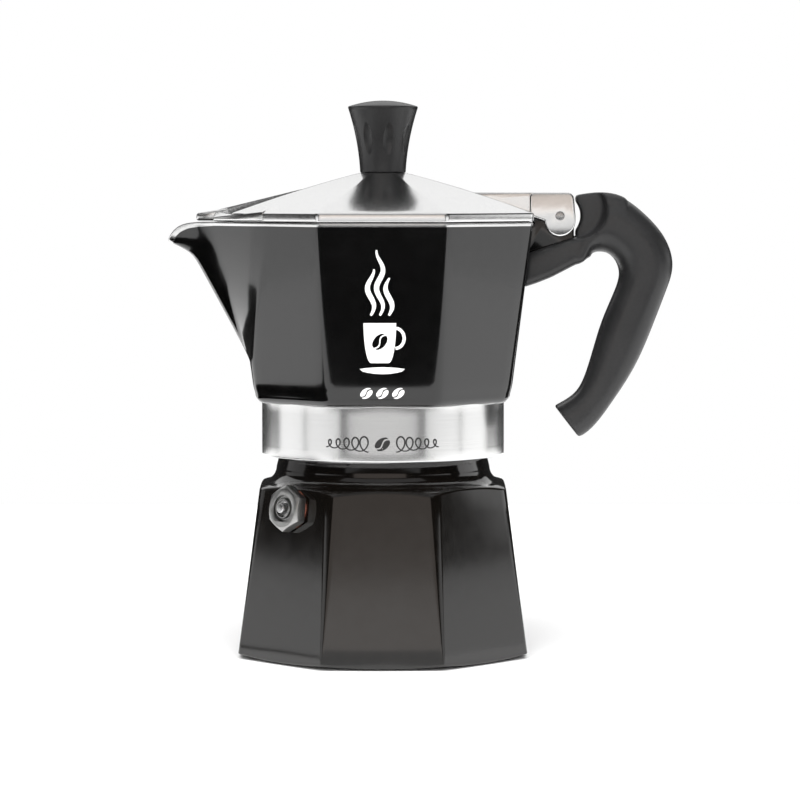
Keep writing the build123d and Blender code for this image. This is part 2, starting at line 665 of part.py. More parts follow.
def knob():
    """The lid's knob: waisted, domed and fluted, bored for its metal insert."""
    edge = (KNOB_EDGE_RADIUS, KNOB_EDGE_Z)
    shoulder = (KNOB_EDGE_RADIUS - KNOB_EDGE_ROUND, KNOB_EDGE_Z + KNOB_EDGE_ROUND)
    crown = KNOB_TOP_Z - shoulder[1]
    dome_radius = (shoulder[0] ** 2 + crown**2) / (2 * crown)
    dome_centre = KNOB_TOP_Z - dome_radius
    body = turned_curve(
        Line((0, KNOB_FOOT_Z), (KNOB_FOOT_RADIUS, KNOB_FOOT_Z)),
        ThreePointArc((KNOB_FOOT_RADIUS, KNOB_FOOT_Z), KNOB_WAIST, edge),
        CenterArc((KNOB_EDGE_RADIUS - KNOB_EDGE_ROUND, KNOB_EDGE_Z), KNOB_EDGE_ROUND, 0, 90),
        CenterArc((0, dome_centre), dome_radius, 90 - degrees(asin(shoulder[0] / dome_radius)),
                  degrees(asin(shoulder[0] / dome_radius))),
        Line((0, KNOB_TOP_Z), (0, KNOB_FOOT_Z)),
    )
    cutter = Pos(FLUTE_MID_RADIUS, 0, FLUTE_MID_Z) * Rot(0, FLUTE_TILT, 0) * flute_cutter()
    for turn in range(FLUTES):
        body = body - Rot(0, 0, FLUTE_FIRST_ANGLE + turn * 360 / FLUTES) * cutter
    pocket = Pos(0, 0, KNOB_FOOT_Z) * Cylinder(
        INSERT_RADIUS, 2 * (INSERT_RECESS + INSERT_HEIGHT)
    )
    return body - pocket


def knob_insert():
    """The threaded bush moulded into the knob."""
    tube = Circle(INSERT_RADIUS) - Circle(KNOB_SCREW_RADIUS + FIT_GAP / 2)
    return Pos(0, 0, KNOB_FOOT_Z + INSERT_RECESS) * extrude(tube, INSERT_HEIGHT)


def slotted_screw(radius, head_radius, head_height, length):
    """A pan-head screw: the head hangs below z = 0 and the shank stands above it."""
    head = Cylinder(head_radius, head_height, align=(Align.CENTER, Align.CENTER, Align.MAX))
    head = fillet(head.edges().filter_by(GeomType.CIRCLE).sort_by(Axis.Z)[0], head_height / 2)
    slot = Pos(0, 0, -head_height) * Box(3 * head_radius, SLOT_WIDTH, 2 * SLOT_DEPTH)
    shank = Cylinder(radius, length, align=(Align.CENTER, Align.CENTER, Align.MIN))
    return head - slot + shank


def washer(outer, hole, z):
    """A flat washer whose top face is at z."""
    return Pos(0, 0, z - WASHER_THICK) * extrude(Circle(outer) - Circle(hole), WASHER_THICK)


def handle_section(inner, outer, half_width):
    """One rounded cross-section of the handle, square to its run."""
    run = Vector(outer[0] - inner[0], 0, outer[1] - inner[1])
    middle = ((inner[0] + outer[0]) / 2, 0, (inner[1] + outer[1]) / 2)
    plane = Plane(origin=middle, x_dir=run.normalized(), z_dir=run.normalized().cross(Vector(0, 1, 0)))
    corner = HANDLE_SQUARENESS * min(run.length, 2 * half_width)
    return plane * RectangleRounded(run.length, 2 * half_width, corner)


def handle():
    """The moulded hook: lower arm, nose behind the hinge, grip and heel."""
    grip = loft([handle_section(*station) for station in HANDLE_STATIONS])
    arm = slab(side_outline(*ARM_OUTLINE), ARM_SIDE)
    arm = fillet(arm.edges().filter_by(Plane.XZ), ARM_ROUND)
    crest = Spline(*NOSE_BLOCK_TOP)
    last = NOSE_BLOCK_TOP[-1]
    flanks = Polyline(
        last, (last[0], NOSE_BLOCK_FOOT_Z + 3), (NOSE_BLOCK_FRONT_X + 2, NOSE_BLOCK_FOOT_Z),
        (NOSE_BLOCK_FRONT_X, NOSE_BLOCK_FOOT_Z + 1), NOSE_BLOCK_TOP[0],
    )
    block = slab(make_face(Curve() + [crest, flanks]), NOSE_BLOCK_HALF_WIDTH)
    top_edges = block.edges().filter_by(lambda e: e.geom_type == GeomType.BSPLINE)
    block = fillet(top_edges, NOSE_BLOCK_ROUND)
    depth = HANDLE_HALF_WIDTH - SCALLOP_FLOOR + 1
    scoop = Plane.XZ.offset(SCALLOP_FLOOR) * (
        Pos(SCALLOP_X, SCALLOP_Z) * Cone(SCALLOP_RADIUS, SCALLOP_FLARE_RADIUS, depth,
                                         align=(Align.CENTER, Align.CENTER, Align.MIN))
    )
    clear = LUG_HALF_WIDTH + FIT_GAP
    tang_room = slab(
        side_outline(
            (LUG_ROOT_X - 2, TANG_BOTTOM_Z - FIT_GAP), (TANG_END_X + FIT_GAP, TANG_BOTTOM_Z - FIT_GAP),
            (TANG_END_X + FIT_GAP, TANG_TOP_Z + FIT_GAP),
            (NOSE_BLOCK_FRONT_X, TANG_TOP_Z + LUG_HEEL_RISE + FIT_GAP),
            (NOSE_BLOCK_FRONT_X, RIB_TOP_Z), (LUG_ROOT_X - 2, RIB_TOP_Z),
        ),
        clear,
    )
    jug_room = loft(
        [
            octagon(collector_apothem(z) + FIT_GAP, z, COLLECTOR_TOP_CORNER)
            for z in (HANDLE_STATIONS[-1][1][1], COLLECTOR_TOP_Z)
        ],
        ruled=True,
    )
    ear_room = cross_hole(PIN_X, PIN_Z, EAR_HALF_WIDTH + 2.0, 2 * HANDLE_HALF_WIDTH)
    screw_room = Pos(SCREW_X, 0, SCREW_SEAT_Z) * (
        Cylinder(SCREW_RADIUS + FIT_GAP, 20)
        + Cylinder(SCREW_HEAD_RADIUS + HEAD_CLEARANCE, 20, align=(Align.CENTER, Align.CENTER, Align.MAX))
    )
    body = grip + arm + block - scoop - mirror(scoop, Plane.XZ)
    return body - tang_room - jug_room - ear_room - screw_room


def main():
    os.makedirs(OUT_DIR, exist_ok=True)
    seal_foot = RIM_Z + SHEET
    plate_foot = seal_foot + GASKET_THICK
    basket_bore = BASKET_RADIUS - BASKET_WALL
    lid_underside = LID_APEX_Z - LID_WALL

    save(boiler(), "boiler")
    save(safety_valve_body(), "safety_valve_body")
    save(valve_disc(VALVE_WASHER_RADIUS, VALVE_SHANK_RADIUS + FIT_GAP, 0, VALVE_WASHER_THICK),
         "valve_seal_washer")
    save(valve_stem(), "valve_stem")
    save(valve_disc(VALVE_FLANGE_RADIUS, 0, -VALVE_SEAT_DEPTH, VALVE_SEAL_THICK), "valve_seat_seal")
    save(valve_spring(), "valve_spring")
    save(valve_disc(VALVE_BORE_RADIUS, VALVE_PIN_RADIUS + VALVE_PIN_CLEARANCE, RETAINER_FOOT,
                    RETAINER_THICK), "valve_retainer")
    save(funnel(), "funnel")
    save(perforated_disc(basket_bore - FIT_GAP / 2, SHEET, BASKET_FLOOR_Z + SHEET, 7), "funnel_strainer")
    save(Pos(0, 0, seal_foot) * extrude(Circle(GASKET_OUTER) - Circle(GASKET_INNER), GASKET_THICK),
         "gasket")
    save(perforated_disc(PLATE_RADIUS, PLATE_THICK, plate_foot, 6), "filter_plate")
    save(collector(), "collector")
    save(lid(), "lid")
    save(hinge_pin(), "hinge_pin")
    save(knob(), "knob")
    save(knob_insert(), "knob_insert")
    head_z = lid_underside - WASHER_THICK
    save(Pos(0, 0, head_z) * slotted_screw(KNOB_SCREW_RADIUS, SCREW_HEAD_RADIUS, SCREW_HEAD_HEIGHT,
                                           KNOB_SCREW_TIP_Z - head_z), "knob_screw")
    save(washer(SCREW_HEAD_RADIUS + 0.6, SCREW_HOLE_RADIUS, lid_underside), "knob_washer")
    save(handle(), "handle")
    head_z = SCREW_SEAT_Z - WASHER_THICK
    save(Pos(SCREW_X, 0, head_z) * slotted_screw(SCREW_RADIUS, SCREW_HEAD_RADIUS, SCREW_HEAD_HEIGHT,
                                                 SCREW_TIP_Z - head_z), "handle_screw")
    save(Pos(SCREW_X, 0, 0) * washer(SCREW_HEAD_RADIUS, SCREW_RADIUS + FIT_GAP, SCREW_SEAT_Z),
         "handle_washer")


main()
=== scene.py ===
import bmesh
import bpy
from math import atan2, cos, hypot, pi, radians, sin, sqrt, tan
from mathutils import Matrix, Vector


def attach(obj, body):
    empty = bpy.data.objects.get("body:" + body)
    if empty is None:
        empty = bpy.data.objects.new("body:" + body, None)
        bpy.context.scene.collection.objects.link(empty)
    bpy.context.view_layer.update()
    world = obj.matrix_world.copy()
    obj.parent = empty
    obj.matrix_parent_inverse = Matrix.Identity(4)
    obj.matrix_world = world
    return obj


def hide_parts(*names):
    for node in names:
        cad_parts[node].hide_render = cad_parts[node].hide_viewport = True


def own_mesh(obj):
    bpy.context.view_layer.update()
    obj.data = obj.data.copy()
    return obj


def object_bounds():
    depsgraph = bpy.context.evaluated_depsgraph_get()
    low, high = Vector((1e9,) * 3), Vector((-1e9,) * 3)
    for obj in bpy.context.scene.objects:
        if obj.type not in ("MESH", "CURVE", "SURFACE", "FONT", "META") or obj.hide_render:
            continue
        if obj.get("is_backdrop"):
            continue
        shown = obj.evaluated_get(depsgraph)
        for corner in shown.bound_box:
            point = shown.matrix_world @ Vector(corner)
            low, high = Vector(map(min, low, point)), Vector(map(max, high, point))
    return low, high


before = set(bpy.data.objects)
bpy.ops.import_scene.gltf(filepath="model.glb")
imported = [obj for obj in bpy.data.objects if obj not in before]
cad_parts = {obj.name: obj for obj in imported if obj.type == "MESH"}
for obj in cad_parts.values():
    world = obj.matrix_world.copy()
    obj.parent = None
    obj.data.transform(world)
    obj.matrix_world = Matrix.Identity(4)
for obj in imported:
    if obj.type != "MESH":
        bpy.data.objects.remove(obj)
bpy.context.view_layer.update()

# ---------------------------------------------------------------------------------------------
# Boiler: the lower chamber, gravity-cast aluminium with eight drawn-in facets.
# Its shoulder, neck and threaded mouth are turned, its base is faced off, and it is lacquered
# black outside. The thread, the rim and the tank are bare metal.

MM = 0.001
FACETS = 8
FACET_TURN = 2 * pi / FACETS
HALF_TURN = FACET_TURN / 2
FRONT = -pi / 2
FLAT_COLUMNS = (-1.0, -0.985, -0.8, -0.6, -0.4, -0.2, 0.0, 0.2, 0.4, 0.6, 0.8, 0.985, 1.0)
CORNER_COLUMNS = 6


def rounded_octagon(apothem, corner):
    """Points of a level octagon with rounded corners, the same count for every size."""
    points = []
    half_flat = (apothem - corner) * tan(HALF_TURN)
    for side in range(FACETS):
        around = FRONT + side * FACET_TURN
        out = Vector((cos(around), sin(around)))
        along = Vector((-sin(around), cos(around)))
        points += [out * apothem + along * (half_flat * share) for share in FLAT_COLUMNS]
        centre = out * (apothem - corner) + along * half_flat
        for step in range(1, CORNER_COLUMNS):
            turn = around + FACET_TURN * step / CORNER_COLUMNS
            points.append(centre + Vector((cos(turn), sin(turn))) * corner)
    return points


COLUMN_ANGLES = [atan2(p.y, p.x) for p in rounded_octagon(1.0, 0.1)]


def walk(line, distance):
    """The point that far along a chain of points."""
    for start, end in zip(line, line[1:]):
        length = (end - start).length
        if distance <= length and length > 0:
            return start.lerp(end, distance / length)
        distance -= length
    return line[-1].copy()


def length_of(line):
    return sum((b - a).length for a, b in zip(line, line[1:]))


def rounded_section(spans, round_rows=4):
    """Rows down one section of a wall: each span is a line, its rows and the radius where it ends."""
    rows = [spans[0][0][0].copy()]
    bands = []
    start_near = 0.0
    for index, (line, count, radius) in enumerate(spans):
        total = length_of(line)
        end_near = min(radius, 0.4 * total)
        for step in range(1, count + 1):
            rows.append(walk(line, start_near + (total - end_near - start_near) * step / count))
            bands.append(index)
        start_near = 0.0
        if radius > 0 and index < len(spans) - 1:
            following = spans[index + 1][0]
            start_near = min(radius, 0.4 * length_of(following))
            ahead = walk(following, start_near)
            behind = rows[-1].copy()
            for step in range(1, round_rows + 1):
                t = step / round_rows
                rows.append(behind * (1 - t) ** 2 + line[-1] * (2 * t * (1 - t)) + ahead * t**2)
                bands.append(index if t <= 0.5 else index + 1)
    return rows, bands


def skin(name, columns, bands, finishes, looped=False):
    """One closed skin through upright columns of points; each row band takes its own finish."""
    bm = bmesh.new()
    materials = list(dict.fromkeys(finishes))
    grid = [[bm.verts.new(point * MM) for point in column] for column in columns]
    count = len(columns)
    rows = len(columns[0])
    for i in range(count):
        left = grid[i]
        right = grid[(i + 1) % count]
        for j in range(rows if looped else rows - 1):
            k = (j + 1) % rows
            face = bm.faces.new((left[j], right[j], right[k], left[k]))
            face.material_index = materials.index(finishes[bands[j]])
    bmesh.ops.remove_doubles(bm, verts=bm.verts, dist=1e-7)
    bmesh.ops.dissolve_degenerate(bm, edges=bm.edges, dist=1e-7)
    bmesh.ops.recalc_face_normals(bm, faces=bm.faces)
    return finished_mesh(bm, name, materials)


def finished_mesh(bm, name, materials, sharp=radians(38)):
    """Turns a bmesh into a linked object with its finishes, whose broad faces shade smoothly."""
    mesh = bpy.data.meshes.new(name)
    bm.to_mesh(mesh)
    bm.free()
    for material in materials:
        mesh.materials.append(material)
    for polygon in mesh.polygons:
        polygon.use_smooth = True
    mesh.set_sharp_from_angle(angle=sharp)
    piece = bpy.data.objects.new(name, mesh)
    bpy.context.scene.collection.objects.link(piece)
    return piece


def applied(piece):
    """Makes an object's modifiers part of its mesh."""
    evaluated = piece.evaluated_get(bpy.context.evaluated_depsgraph_get())
    mesh = bpy.data.meshes.new_from_object(evaluated)
    piece.modifiers.clear()
    piece.data = mesh
    return piece


def combined(piece, tool, operation, sharp=radians(38)):
    """Joins a solid to a piece or cuts it away, and puts the solid away."""
    cut = piece.modifiers.new("shape", "BOOLEAN")
    cut.operation = operation
    cut.solver = "EXACT"
    cut.material_mode = "TRANSFER"
    cut.object = tool
    applied(piece)
    bpy.data.objects.remove(tool)
    piece.data.set_sharp_from_angle(angle=sharp)
    return piece


def polar(radius, angle, z):
    return Vector((radius * cos(angle), radius * sin(angle), z))


def tree_input(tree, label, value, kind="NodeSocketFloat"):
    socket = tree.interface.new_socket(label, in_out="INPUT", socket_type=kind)
    if value is not None:
        socket.default_value = value
    return socket


def pattern_group(name, build):
    """A node group that gives a fine and a broad value over the surface."""
    tree = bpy.data.node_groups.new(name, "ShaderNodeTree")
    tree.interface.new_socket("Coordinates", in_out="INPUT", socket_type="NodeSocketVector")
    tree_input(tree, "Fine Scale", 1000.0)
    tree_input(tree, "Broad Scale", 30.0)
    tree.interface.new_socket("Fine", in_out="OUTPUT", socket_type="NodeSocketFloat")
    tree.interface.new_socket("Broad", in_out="OUTPUT", socket_type="NodeSocketFloat")
    start = tree.nodes.new("NodeGroupInput")
    end = tree.nodes.new("NodeGroupOutput")
    broad = tree.nodes.new("ShaderNodeTexNoise")
    broad.inputs["Detail"].default_value = 3
    tree.links.new(start.outputs["Coordinates"], broad.inputs["Vector"])
    tree.links.new(start.outputs["Broad Scale"], broad.inputs["Scale"])
    tree.links.new(broad.outputs["Fac"], end.inputs["Broad"])
    tree.links.new(build(tree, start), end.inputs["Fine"])
    return tree


def lathe_lines(tree, start):
    """Fine rings round the upright axis, on walls and on faced-off discs alike."""
    parts = tree.nodes.new("ShaderNodeSeparateXYZ")
    flat = tree.nodes.new("ShaderNodeCombineXYZ")
    reach = tree.nodes.new("ShaderNodeVectorMath")
    reach.operation = "LENGTH"
    total = tree.nodes.new("ShaderNodeMath")
    total.operation = "ADD"
    lines = tree.nodes.new("ShaderNodeTexNoise")
    lines.noise_dimensions = "1D"
    lines.inputs["Detail"].default_value = 4
    lines.inputs["Roughness"].default_value = 0.7
    link = tree.links.new
    link(start.outputs["Coordinates"], parts.inputs["Vector"])
    link(parts.outputs["X"], flat.inputs["X"])
    link(parts.outputs["Y"], flat.inputs["Y"])
    link(flat.outputs["Vector"], reach.inputs[0])
    link(reach.outputs["Value"], total.inputs[0])
    link(parts.outputs["Z"], total.inputs[1])
    link(total.outputs["Value"], lines.inputs["W"])
    link(start.outputs["Fine Scale"], lines.inputs["Scale"])
    return lines.outputs["Fac"]


def soft_peel(tree, start):
    """The long low ripple of sprayed lacquer."""
    ripple = tree.nodes.new("ShaderNodeTexNoise")
    ripple.inputs["Detail"].default_value = 1
    ripple.inputs["Roughness"].default_value = 0.3
    tree.links.new(start.outputs["Coordinates"], ripple.inputs["Vector"])
    tree.links.new(start.outputs["Fine Scale"], ripple.inputs["Scale"])
    return ripple.outputs["Fac"]


def close_grain(tree, start):
    """The close irregular grain left by a sand-blasted mould."""
    grain = tree.nodes.new("ShaderNodeTexNoise")
    grain.inputs["Detail"].default_value = 6
    grain.inputs["Roughness"].default_value = 0.65
    tree.links.new(start.outputs["Coordinates"], grain.inputs["Vector"])
    tree.links.new(start.outputs["Fine Scale"], grain.inputs["Scale"])
    return grain.outputs["Fac"]


def finish(name, pattern, fine, broad, dark, light, rough, bump, **sockets):
    """A finish whose colour, gloss and height follow one pattern group; sockets are constants."""
    material = bpy.data.materials.new(name)
    material.use_nodes = True
    tree = material.node_tree
    shader = tree.nodes["Principled BSDF"]
    link = tree.links.new
    place = tree.nodes.new("ShaderNodeTexCoord")
    group = tree.nodes.new("ShaderNodeGroup")
    group.node_tree = pattern
    group.inputs["Fine Scale"].default_value = fine
    group.inputs["Broad Scale"].default_value = broad
    link(place.outputs["Object"], group.inputs["Coordinates"])
    tint = tree.nodes.new("ShaderNodeValToRGB")
    tint.color_ramp.elements[0].position = 0.35
    tint.color_ramp.elements[1].position = 0.65
    tint.color_ramp.elements[0].color = (*dark, 1)
    tint.color_ramp.elements[1].color = (*light, 1)
    mixed = tree.nodes.new("ShaderNodeMix")
    mixed.inputs["Factor"].default_value = 0.5
    link(group.outputs["Broad"], mixed.inputs["A"])
    link(group.outputs["Fine"], mixed.inputs["B"])
    link(mixed.outputs["Result"], tint.inputs["Fac"])
    link(tint.outputs["Color"], shader.inputs["Base Color"])
    gloss = tree.nodes.new("ShaderNodeMapRange")
    gloss.inputs["From Min"].default_value = 0.3
    gloss.inputs["From Max"].default_value = 0.7
    gloss.inputs["To Min"].default_value = rough[0]
    gloss.inputs["To Max"].default_value = rough[1]
    link(mixed.outputs["Result"], gloss.inputs["Value"])
    link(gloss.outputs["Result"], shader.inputs["Roughness"])
    height = tree.nodes.new("ShaderNodeBump")
    height.inputs["Distance"].default_value = bump * MM
    height.inputs["Strength"].default_value = 1.0
    link(group.outputs["Fine"], height.inputs["Height"])
    link(height.outputs["Normal"], shader.inputs["Normal"])
    for label, value in sockets.items():
        shader.inputs[label.replace("_", " ")].default_value = value
    return material


def in_place(piece, body, slot, *nodes):
    """Fixes a piece to its body in place of the plain nodes it stands for."""
    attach(piece, body)
    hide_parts(*nodes)


TURNING = pattern_group("turning_marks", lathe_lines)
PEEL = pattern_group("lacquer_peel", soft_peel)
GRAIN = pattern_group("close_grain", close_grain)

boiler_lacquer = finish(
    "boiler_lacquer", PEEL, 260, 25, (0.0020, 0.0015, 0.0011), (0.0028, 0.0021, 0.0015), (0.08, 0.13), 0.006,
    Specular_IOR_Level=0.5, Coat_Weight=0.4, Coat_Roughness=0.06)
turned = finish(
    "turned_aluminium", TURNING, 3200, 18, (0.70, 0.70, 0.70), (0.84, 0.84, 0.83), (0.17, 0.27), 0.003,
    Metallic=1.0)
cast = finish(
    "cast_aluminium", GRAIN, 900, 40, (0.58, 0.58, 0.58), (0.74, 0.74, 0.73), (0.32, 0.50), 0.03,
    Metallic=1.0)

BASE_APOTHEM = 43.1
BOILER_TAPER = 0.1296
BASE_CORNER = 1.2
NECK_TOP = 59.3
NECK_CORNER = 7.0
BASE_DISC = 39.9
BASE_SLOPE = 0.234
SHOULDER_RADIUS = 36.4
SHOULDER_Z = 51.6
SHOULDER_FALL = 0.42
NECK_RADIUS = 32.0
RIM_Z = 69.0
MOUTH_RADIUS = 28.5
TANK_FLOOR = 3.0
TANK_COVE = 2.5
TANK_TOP = 47.0
CONE_TOP = 55.5
BOILER_WALL = 2.9
THREAD_RADIUS = 31.6
THREAD_THROW = 0.45
THREAD_PITCH = 3.0
THREAD_START = 59.8
THREAD_RUN_OUT = 1.2


def boiler_apothem(z):
    return BASE_APOTHEM - BOILER_TAPER * z


def thread_radius(angle, z, mean, low, high, clear):
    """A round one-start right-hand thread that runs out to its clear side at its two ends."""
    fade = min(1.0, max(0.0, min(z - low, high - z) / THREAD_RUN_OUT))
    phase = angle - 2 * pi * (z - THREAD_START) / THREAD_PITCH
    return mean + THREAD_THROW * (fade * cos(phase) + clear * (1 - fade))


def first_crossing(height_error, low, high):
    """Where a rising error passes zero between two heights."""
    for _ in range(30):
        middle = (low + high) / 2
        if height_error(middle) < 0:
            low = middle
        else:
            high = middle
    return (low + high) / 2


boiler_foot = rounded_octagon(BASE_APOTHEM, BASE_CORNER)
boiler_neck = rounded_octagon(boiler_apothem(NECK_TOP), NECK_CORNER)
tank_floor = rounded_octagon(boiler_apothem(TANK_FLOOR) - 2 * BOILER_WALL, 3.5)
tank_cove = rounded_octagon(boiler_apothem(TANK_FLOOR) - BOILER_WALL, 3.5)
tank_top = rounded_octagon(boiler_apothem(TANK_TOP) - BOILER_WALL, 8.0)
boiler_columns = []
for foot, neck, angle, floor, cove, top in zip(
    boiler_foot, boiler_neck, COLUMN_ANGLES, tank_floor, tank_cove, tank_top
):
    def wall(z, foot=foot, neck=neck):
        across = foot.lerp(neck, z / NECK_TOP)
        return Vector((across.x, across.y, z))

    def chamfer_error(z):
        return z - BASE_SLOPE * (wall(z).xy.length - BASE_DISC)

    def shoulder_error(z):
        return z - SHOULDER_Z + SHOULDER_FALL * (wall(z).xy.length - SHOULDER_RADIUS)

    low = wall(first_crossing(chamfer_error, 0.0, 4.0))
    high = wall(first_crossing(shoulder_error, 40.0, 55.0))
    around = atan2(high.y, high.x)
    sweep = SHOULDER_RADIUS - NECK_RADIUS
    hollow = [
        polar(SHOULDER_RADIUS - sweep * sin(t * pi / 24), around, SHOULDER_Z + sweep * (1 - cos(t * pi / 24)))
        for t in range(13)
    ]
    thread = [
        polar(thread_radius(around, z, THREAD_RADIUS, NECK_TOP, RIM_Z - 0.6, -1), around, z)
        for z in [NECK_TOP + 0.25 * step for step in range(38)]
    ]
    tank_edge = [p.to_3d() + Vector((0, 0, z)) for p, z in (
        (top, TANK_TOP), (cove, TANK_FLOOR + TANK_COVE), (floor, TANK_FLOOR))]
    spans = [
        ([Vector((0, 0, 0)), polar(BASE_DISC, around, 0)], 8, 0.3),
        ([polar(BASE_DISC, around, 0), low], 3, 0.5),
        ([low, high], 8, 0.7),
        ([high] + hollow, 16, 0.5),
        ([hollow[-1], thread[0]], 3, 0),
        (thread, 37, 0.3),
        ([thread[-1], polar(MOUTH_RADIUS, around, RIM_Z)], 3, 0.3),
        ([polar(MOUTH_RADIUS, around, RIM_Z), polar(MOUTH_RADIUS, around, CONE_TOP)], 4, 0.8),
        ([polar(MOUTH_RADIUS, around, CONE_TOP), tank_edge[0]], 4, 1.5),
        (tank_edge[:2], 4, 0.8),
        (tank_edge[1:], 3, 0.8),
        ([tank_edge[2], Vector((0, 0, TANK_FLOOR))], 5, 0),
    ]
    rows, boiler_bands = rounded_section(spans)
    boiler_columns.append(rows)

boiler = skin(
    "boiler_casting", boiler_columns, boiler_bands,
    [turned] + [boiler_lacquer] * 4 + [turned] * 3 + [cast] * 4,
)

VALVE_Z = 45.5
VALVE_AROUND = radians(225)
VALVE_HOLE = 4.55
VALVE_HOLE_FACETS = 48
valve_reach = boiler_apothem(VALVE_Z)
valve_out = Vector((cos(VALVE_AROUND), sin(VALVE_AROUND), BOILER_TAPER)).normalized()
valve_across = Vector((sin(VALVE_AROUND), -cos(VALVE_AROUND), 0))
valve_up = valve_out.cross(valve_across)
valve_seat = polar(valve_reach, VALVE_AROUND, VALVE_Z) * MM
valve_place = Matrix((valve_across, valve_up, valve_out)).transposed().to_4x4()
valve_place.translation = valve_seat
drill = bmesh.new()
bmesh.ops.create_cone(
    drill, cap_ends=True, segments=VALVE_HOLE_FACETS, radius1=VALVE_HOLE * MM, radius2=VALVE_HOLE * MM,
    depth=6 * BOILER_WALL * MM, matrix=valve_place,
)
boiler = combined(boiler, finished_mesh(drill, "valve_hole", [turned]), "DIFFERENCE")
in_place(boiler, "boiler", "boiler_lacquer", "boiler")

# ---------------------------------------------------------------------------------------------
# Collector: the upper jug, cast in one with its spout, its middle column, the hinge lug and the
# tang for the handle. Outside it is lacquered black; the inside, the lip and the turned collar
# with its thread, seal seat and dish are bare aluminium.

FOOT_Z = 75.8
FOOT_APOTHEM = 37.7
FOOT_CORNER = 6.4
FOOT_ROUND = 2.8
TOP_Z = 129.3
TOP_APOTHEM = 44.3
TOP_CORNER = 2.7
JUG_WALL = 2.2
COLLAR_RADIUS = 36.3
COLLAR_FOOT = 59.8
PROW_FOOT = 88.3
PROW_SPREAD = (16.25, 29.2)
RIDGE_START = 39.7
RIDGE_SLOPE = 0.543
RIDGE_BLEND = 1.2
BEAK = ((118.0, 0.0), (120.1, 0.7), (121.7, 2.5), (122.6, 4.1), (123.2, 5.0), (123.8, 5.6), (131.0, 5.6))
NOSE_SHARE = 0.72
NOSE_HALF = 2.6
LIP = ((-66.0, 118.5), (-64.5, 123.8), (-63.9, 124.9), (-62.0, 127.5), (-59.3, 128.8), (-56.5, 129.2),
       (-50.1, 129.3), (60.0, 129.3))
BARE_EDGE = 1.1
BARE_NOSE = 0.9
LEVEL_STEP = 0.5
LEVELS = [FOOT_Z + 2.5 * step for step in range(17)] + [118.3 + LEVEL_STEP * step for step in range(25)]


def read_off(table, value):
    """Straight-line reading of a table of (input, output) pairs."""
    for (x0, y0), (x1, y1) in zip(table, table[1:]):
        if value <= x1:
            return y0 + (y1 - y0) * max(0.0, value - x0) / (x1 - x0)
    return table[-1][1]


def eased(table, value, width):
    """The same reading, with its corners softened."""
    return (read_off(table, value - width) + 2 * read_off(table, value) + read_off(table, value + width)) / 4


def jug_apothem(z):
    return FOOT_APOTHEM + (TOP_APOTHEM - FOOT_APOTHEM) * (z - FOOT_Z) / (TOP_Z - FOOT_Z)


def jug_outline(z, inset):
    """The jug's level outline: seven facets and the prow of the spout, with rounded corners."""
    apothem = jug_apothem(z) - inset
    corner = FOOT_CORNER + (TOP_CORNER - FOOT_CORNER) * (z - FOOT_Z) / (TOP_Z - FOOT_Z)
    reach = apothem / cos(HALF_TURN)
    marks = []
    for step in range(6):
        turn = (step - 2.5) * FACET_TURN
        marks.append((Vector((reach * cos(turn), reach * sin(turn))), corner * tan(HALF_TURN), 10))
    share = (z - PROW_FOOT) / (TOP_Z - PROW_FOOT)
    if share < 0:
        edge_y = apothem * tan(HALF_TURN)
        edge_x = -apothem
    else:
        edge_y = PROW_SPREAD[0] + share * (PROW_SPREAD[1] - PROW_SPREAD[0]) - inset
        edge_x = edge_y - apothem * sqrt(2)
    edge_round = 2.4 - 1.2 * min(1.0, max(0.0, 3 * share))
    line = RIDGE_START + RIDGE_SLOPE * (z - PROW_FOOT)
    flat = jug_apothem(z)
    ridge = (line + flat + sqrt((line - flat) ** 2 + RIDGE_BLEND**2)) / 2 - 1.2 * inset
    mid = Vector((edge_x - NOSE_SHARE * (ridge + edge_x), edge_y * (1 - NOSE_SHARE)))
    nose = Vector((-ridge - eased(BEAK, z, 0.7), min(NOSE_HALF - 0.6 * inset, mid.y / 2)))
    marks.append((Vector((edge_x, edge_y)), edge_round, 12))
    marks.append((mid, 3.5, 5))
    marks.append((nose, 2.2, 3))
    marks.append((Vector((nose.x, -nose.y)), 2.2, 5))
    marks.append((Vector((mid.x, -mid.y)), 3.5, 12))
    marks.append((Vector((edge_x, -edge_y)), edge_round, 10))
    points = []
    for index, (mark, near, count) in enumerate(marks):
        before = marks[index - 1][0]
        after, after_near, _ = marks[(index + 1) % len(marks)]
        near = min(near, 0.42 * (mark - before).length, 0.42 * (after - mark).length)
        after_near = min(after_near, 0.42 * (after - mark).length,
                         0.42 * (marks[(index + 2) % len(marks)][0] - after).length)
        back = mark + (before - mark).normalized() * near
        ahead = mark + (after - mark).normalized() * near
        for t in (0.0, 0.25, 0.5, 0.75, 1.0):
            points.append(back * (1 - t) ** 2 + mark * (2 * t * (1 - t)) + ahead * t**2)
        stop = after + (mark - after).normalized() * after_near
        points += [ahead.lerp(stop, step / count) for step in range(1, count)]
    return points


def jug_walls(inset):
    """Upright chains of points up the jug's wall, each cut off at the lip."""
    outlines = [jug_outline(z, inset) for z in LEVELS]
    walls = []
    for column in range(len(outlines[0])):
        chain = [Vector((outline[column].x, outline[column].y, z)) for outline, z in zip(outlines, LEVELS)]
        kept = [chain[0]]
        for below, above in zip(chain, chain[1:]):
            gap_below = eased(LIP, below.x, 0.8) - below.z
            gap_above = eased(LIP, above.x, 0.8) - above.z
            if gap_above <= 0:
                kept.append(below.lerp(above, gap_below / (gap_below - gap_above)))
                break
            kept.append(above)
        walls.append(kept)
    return walls


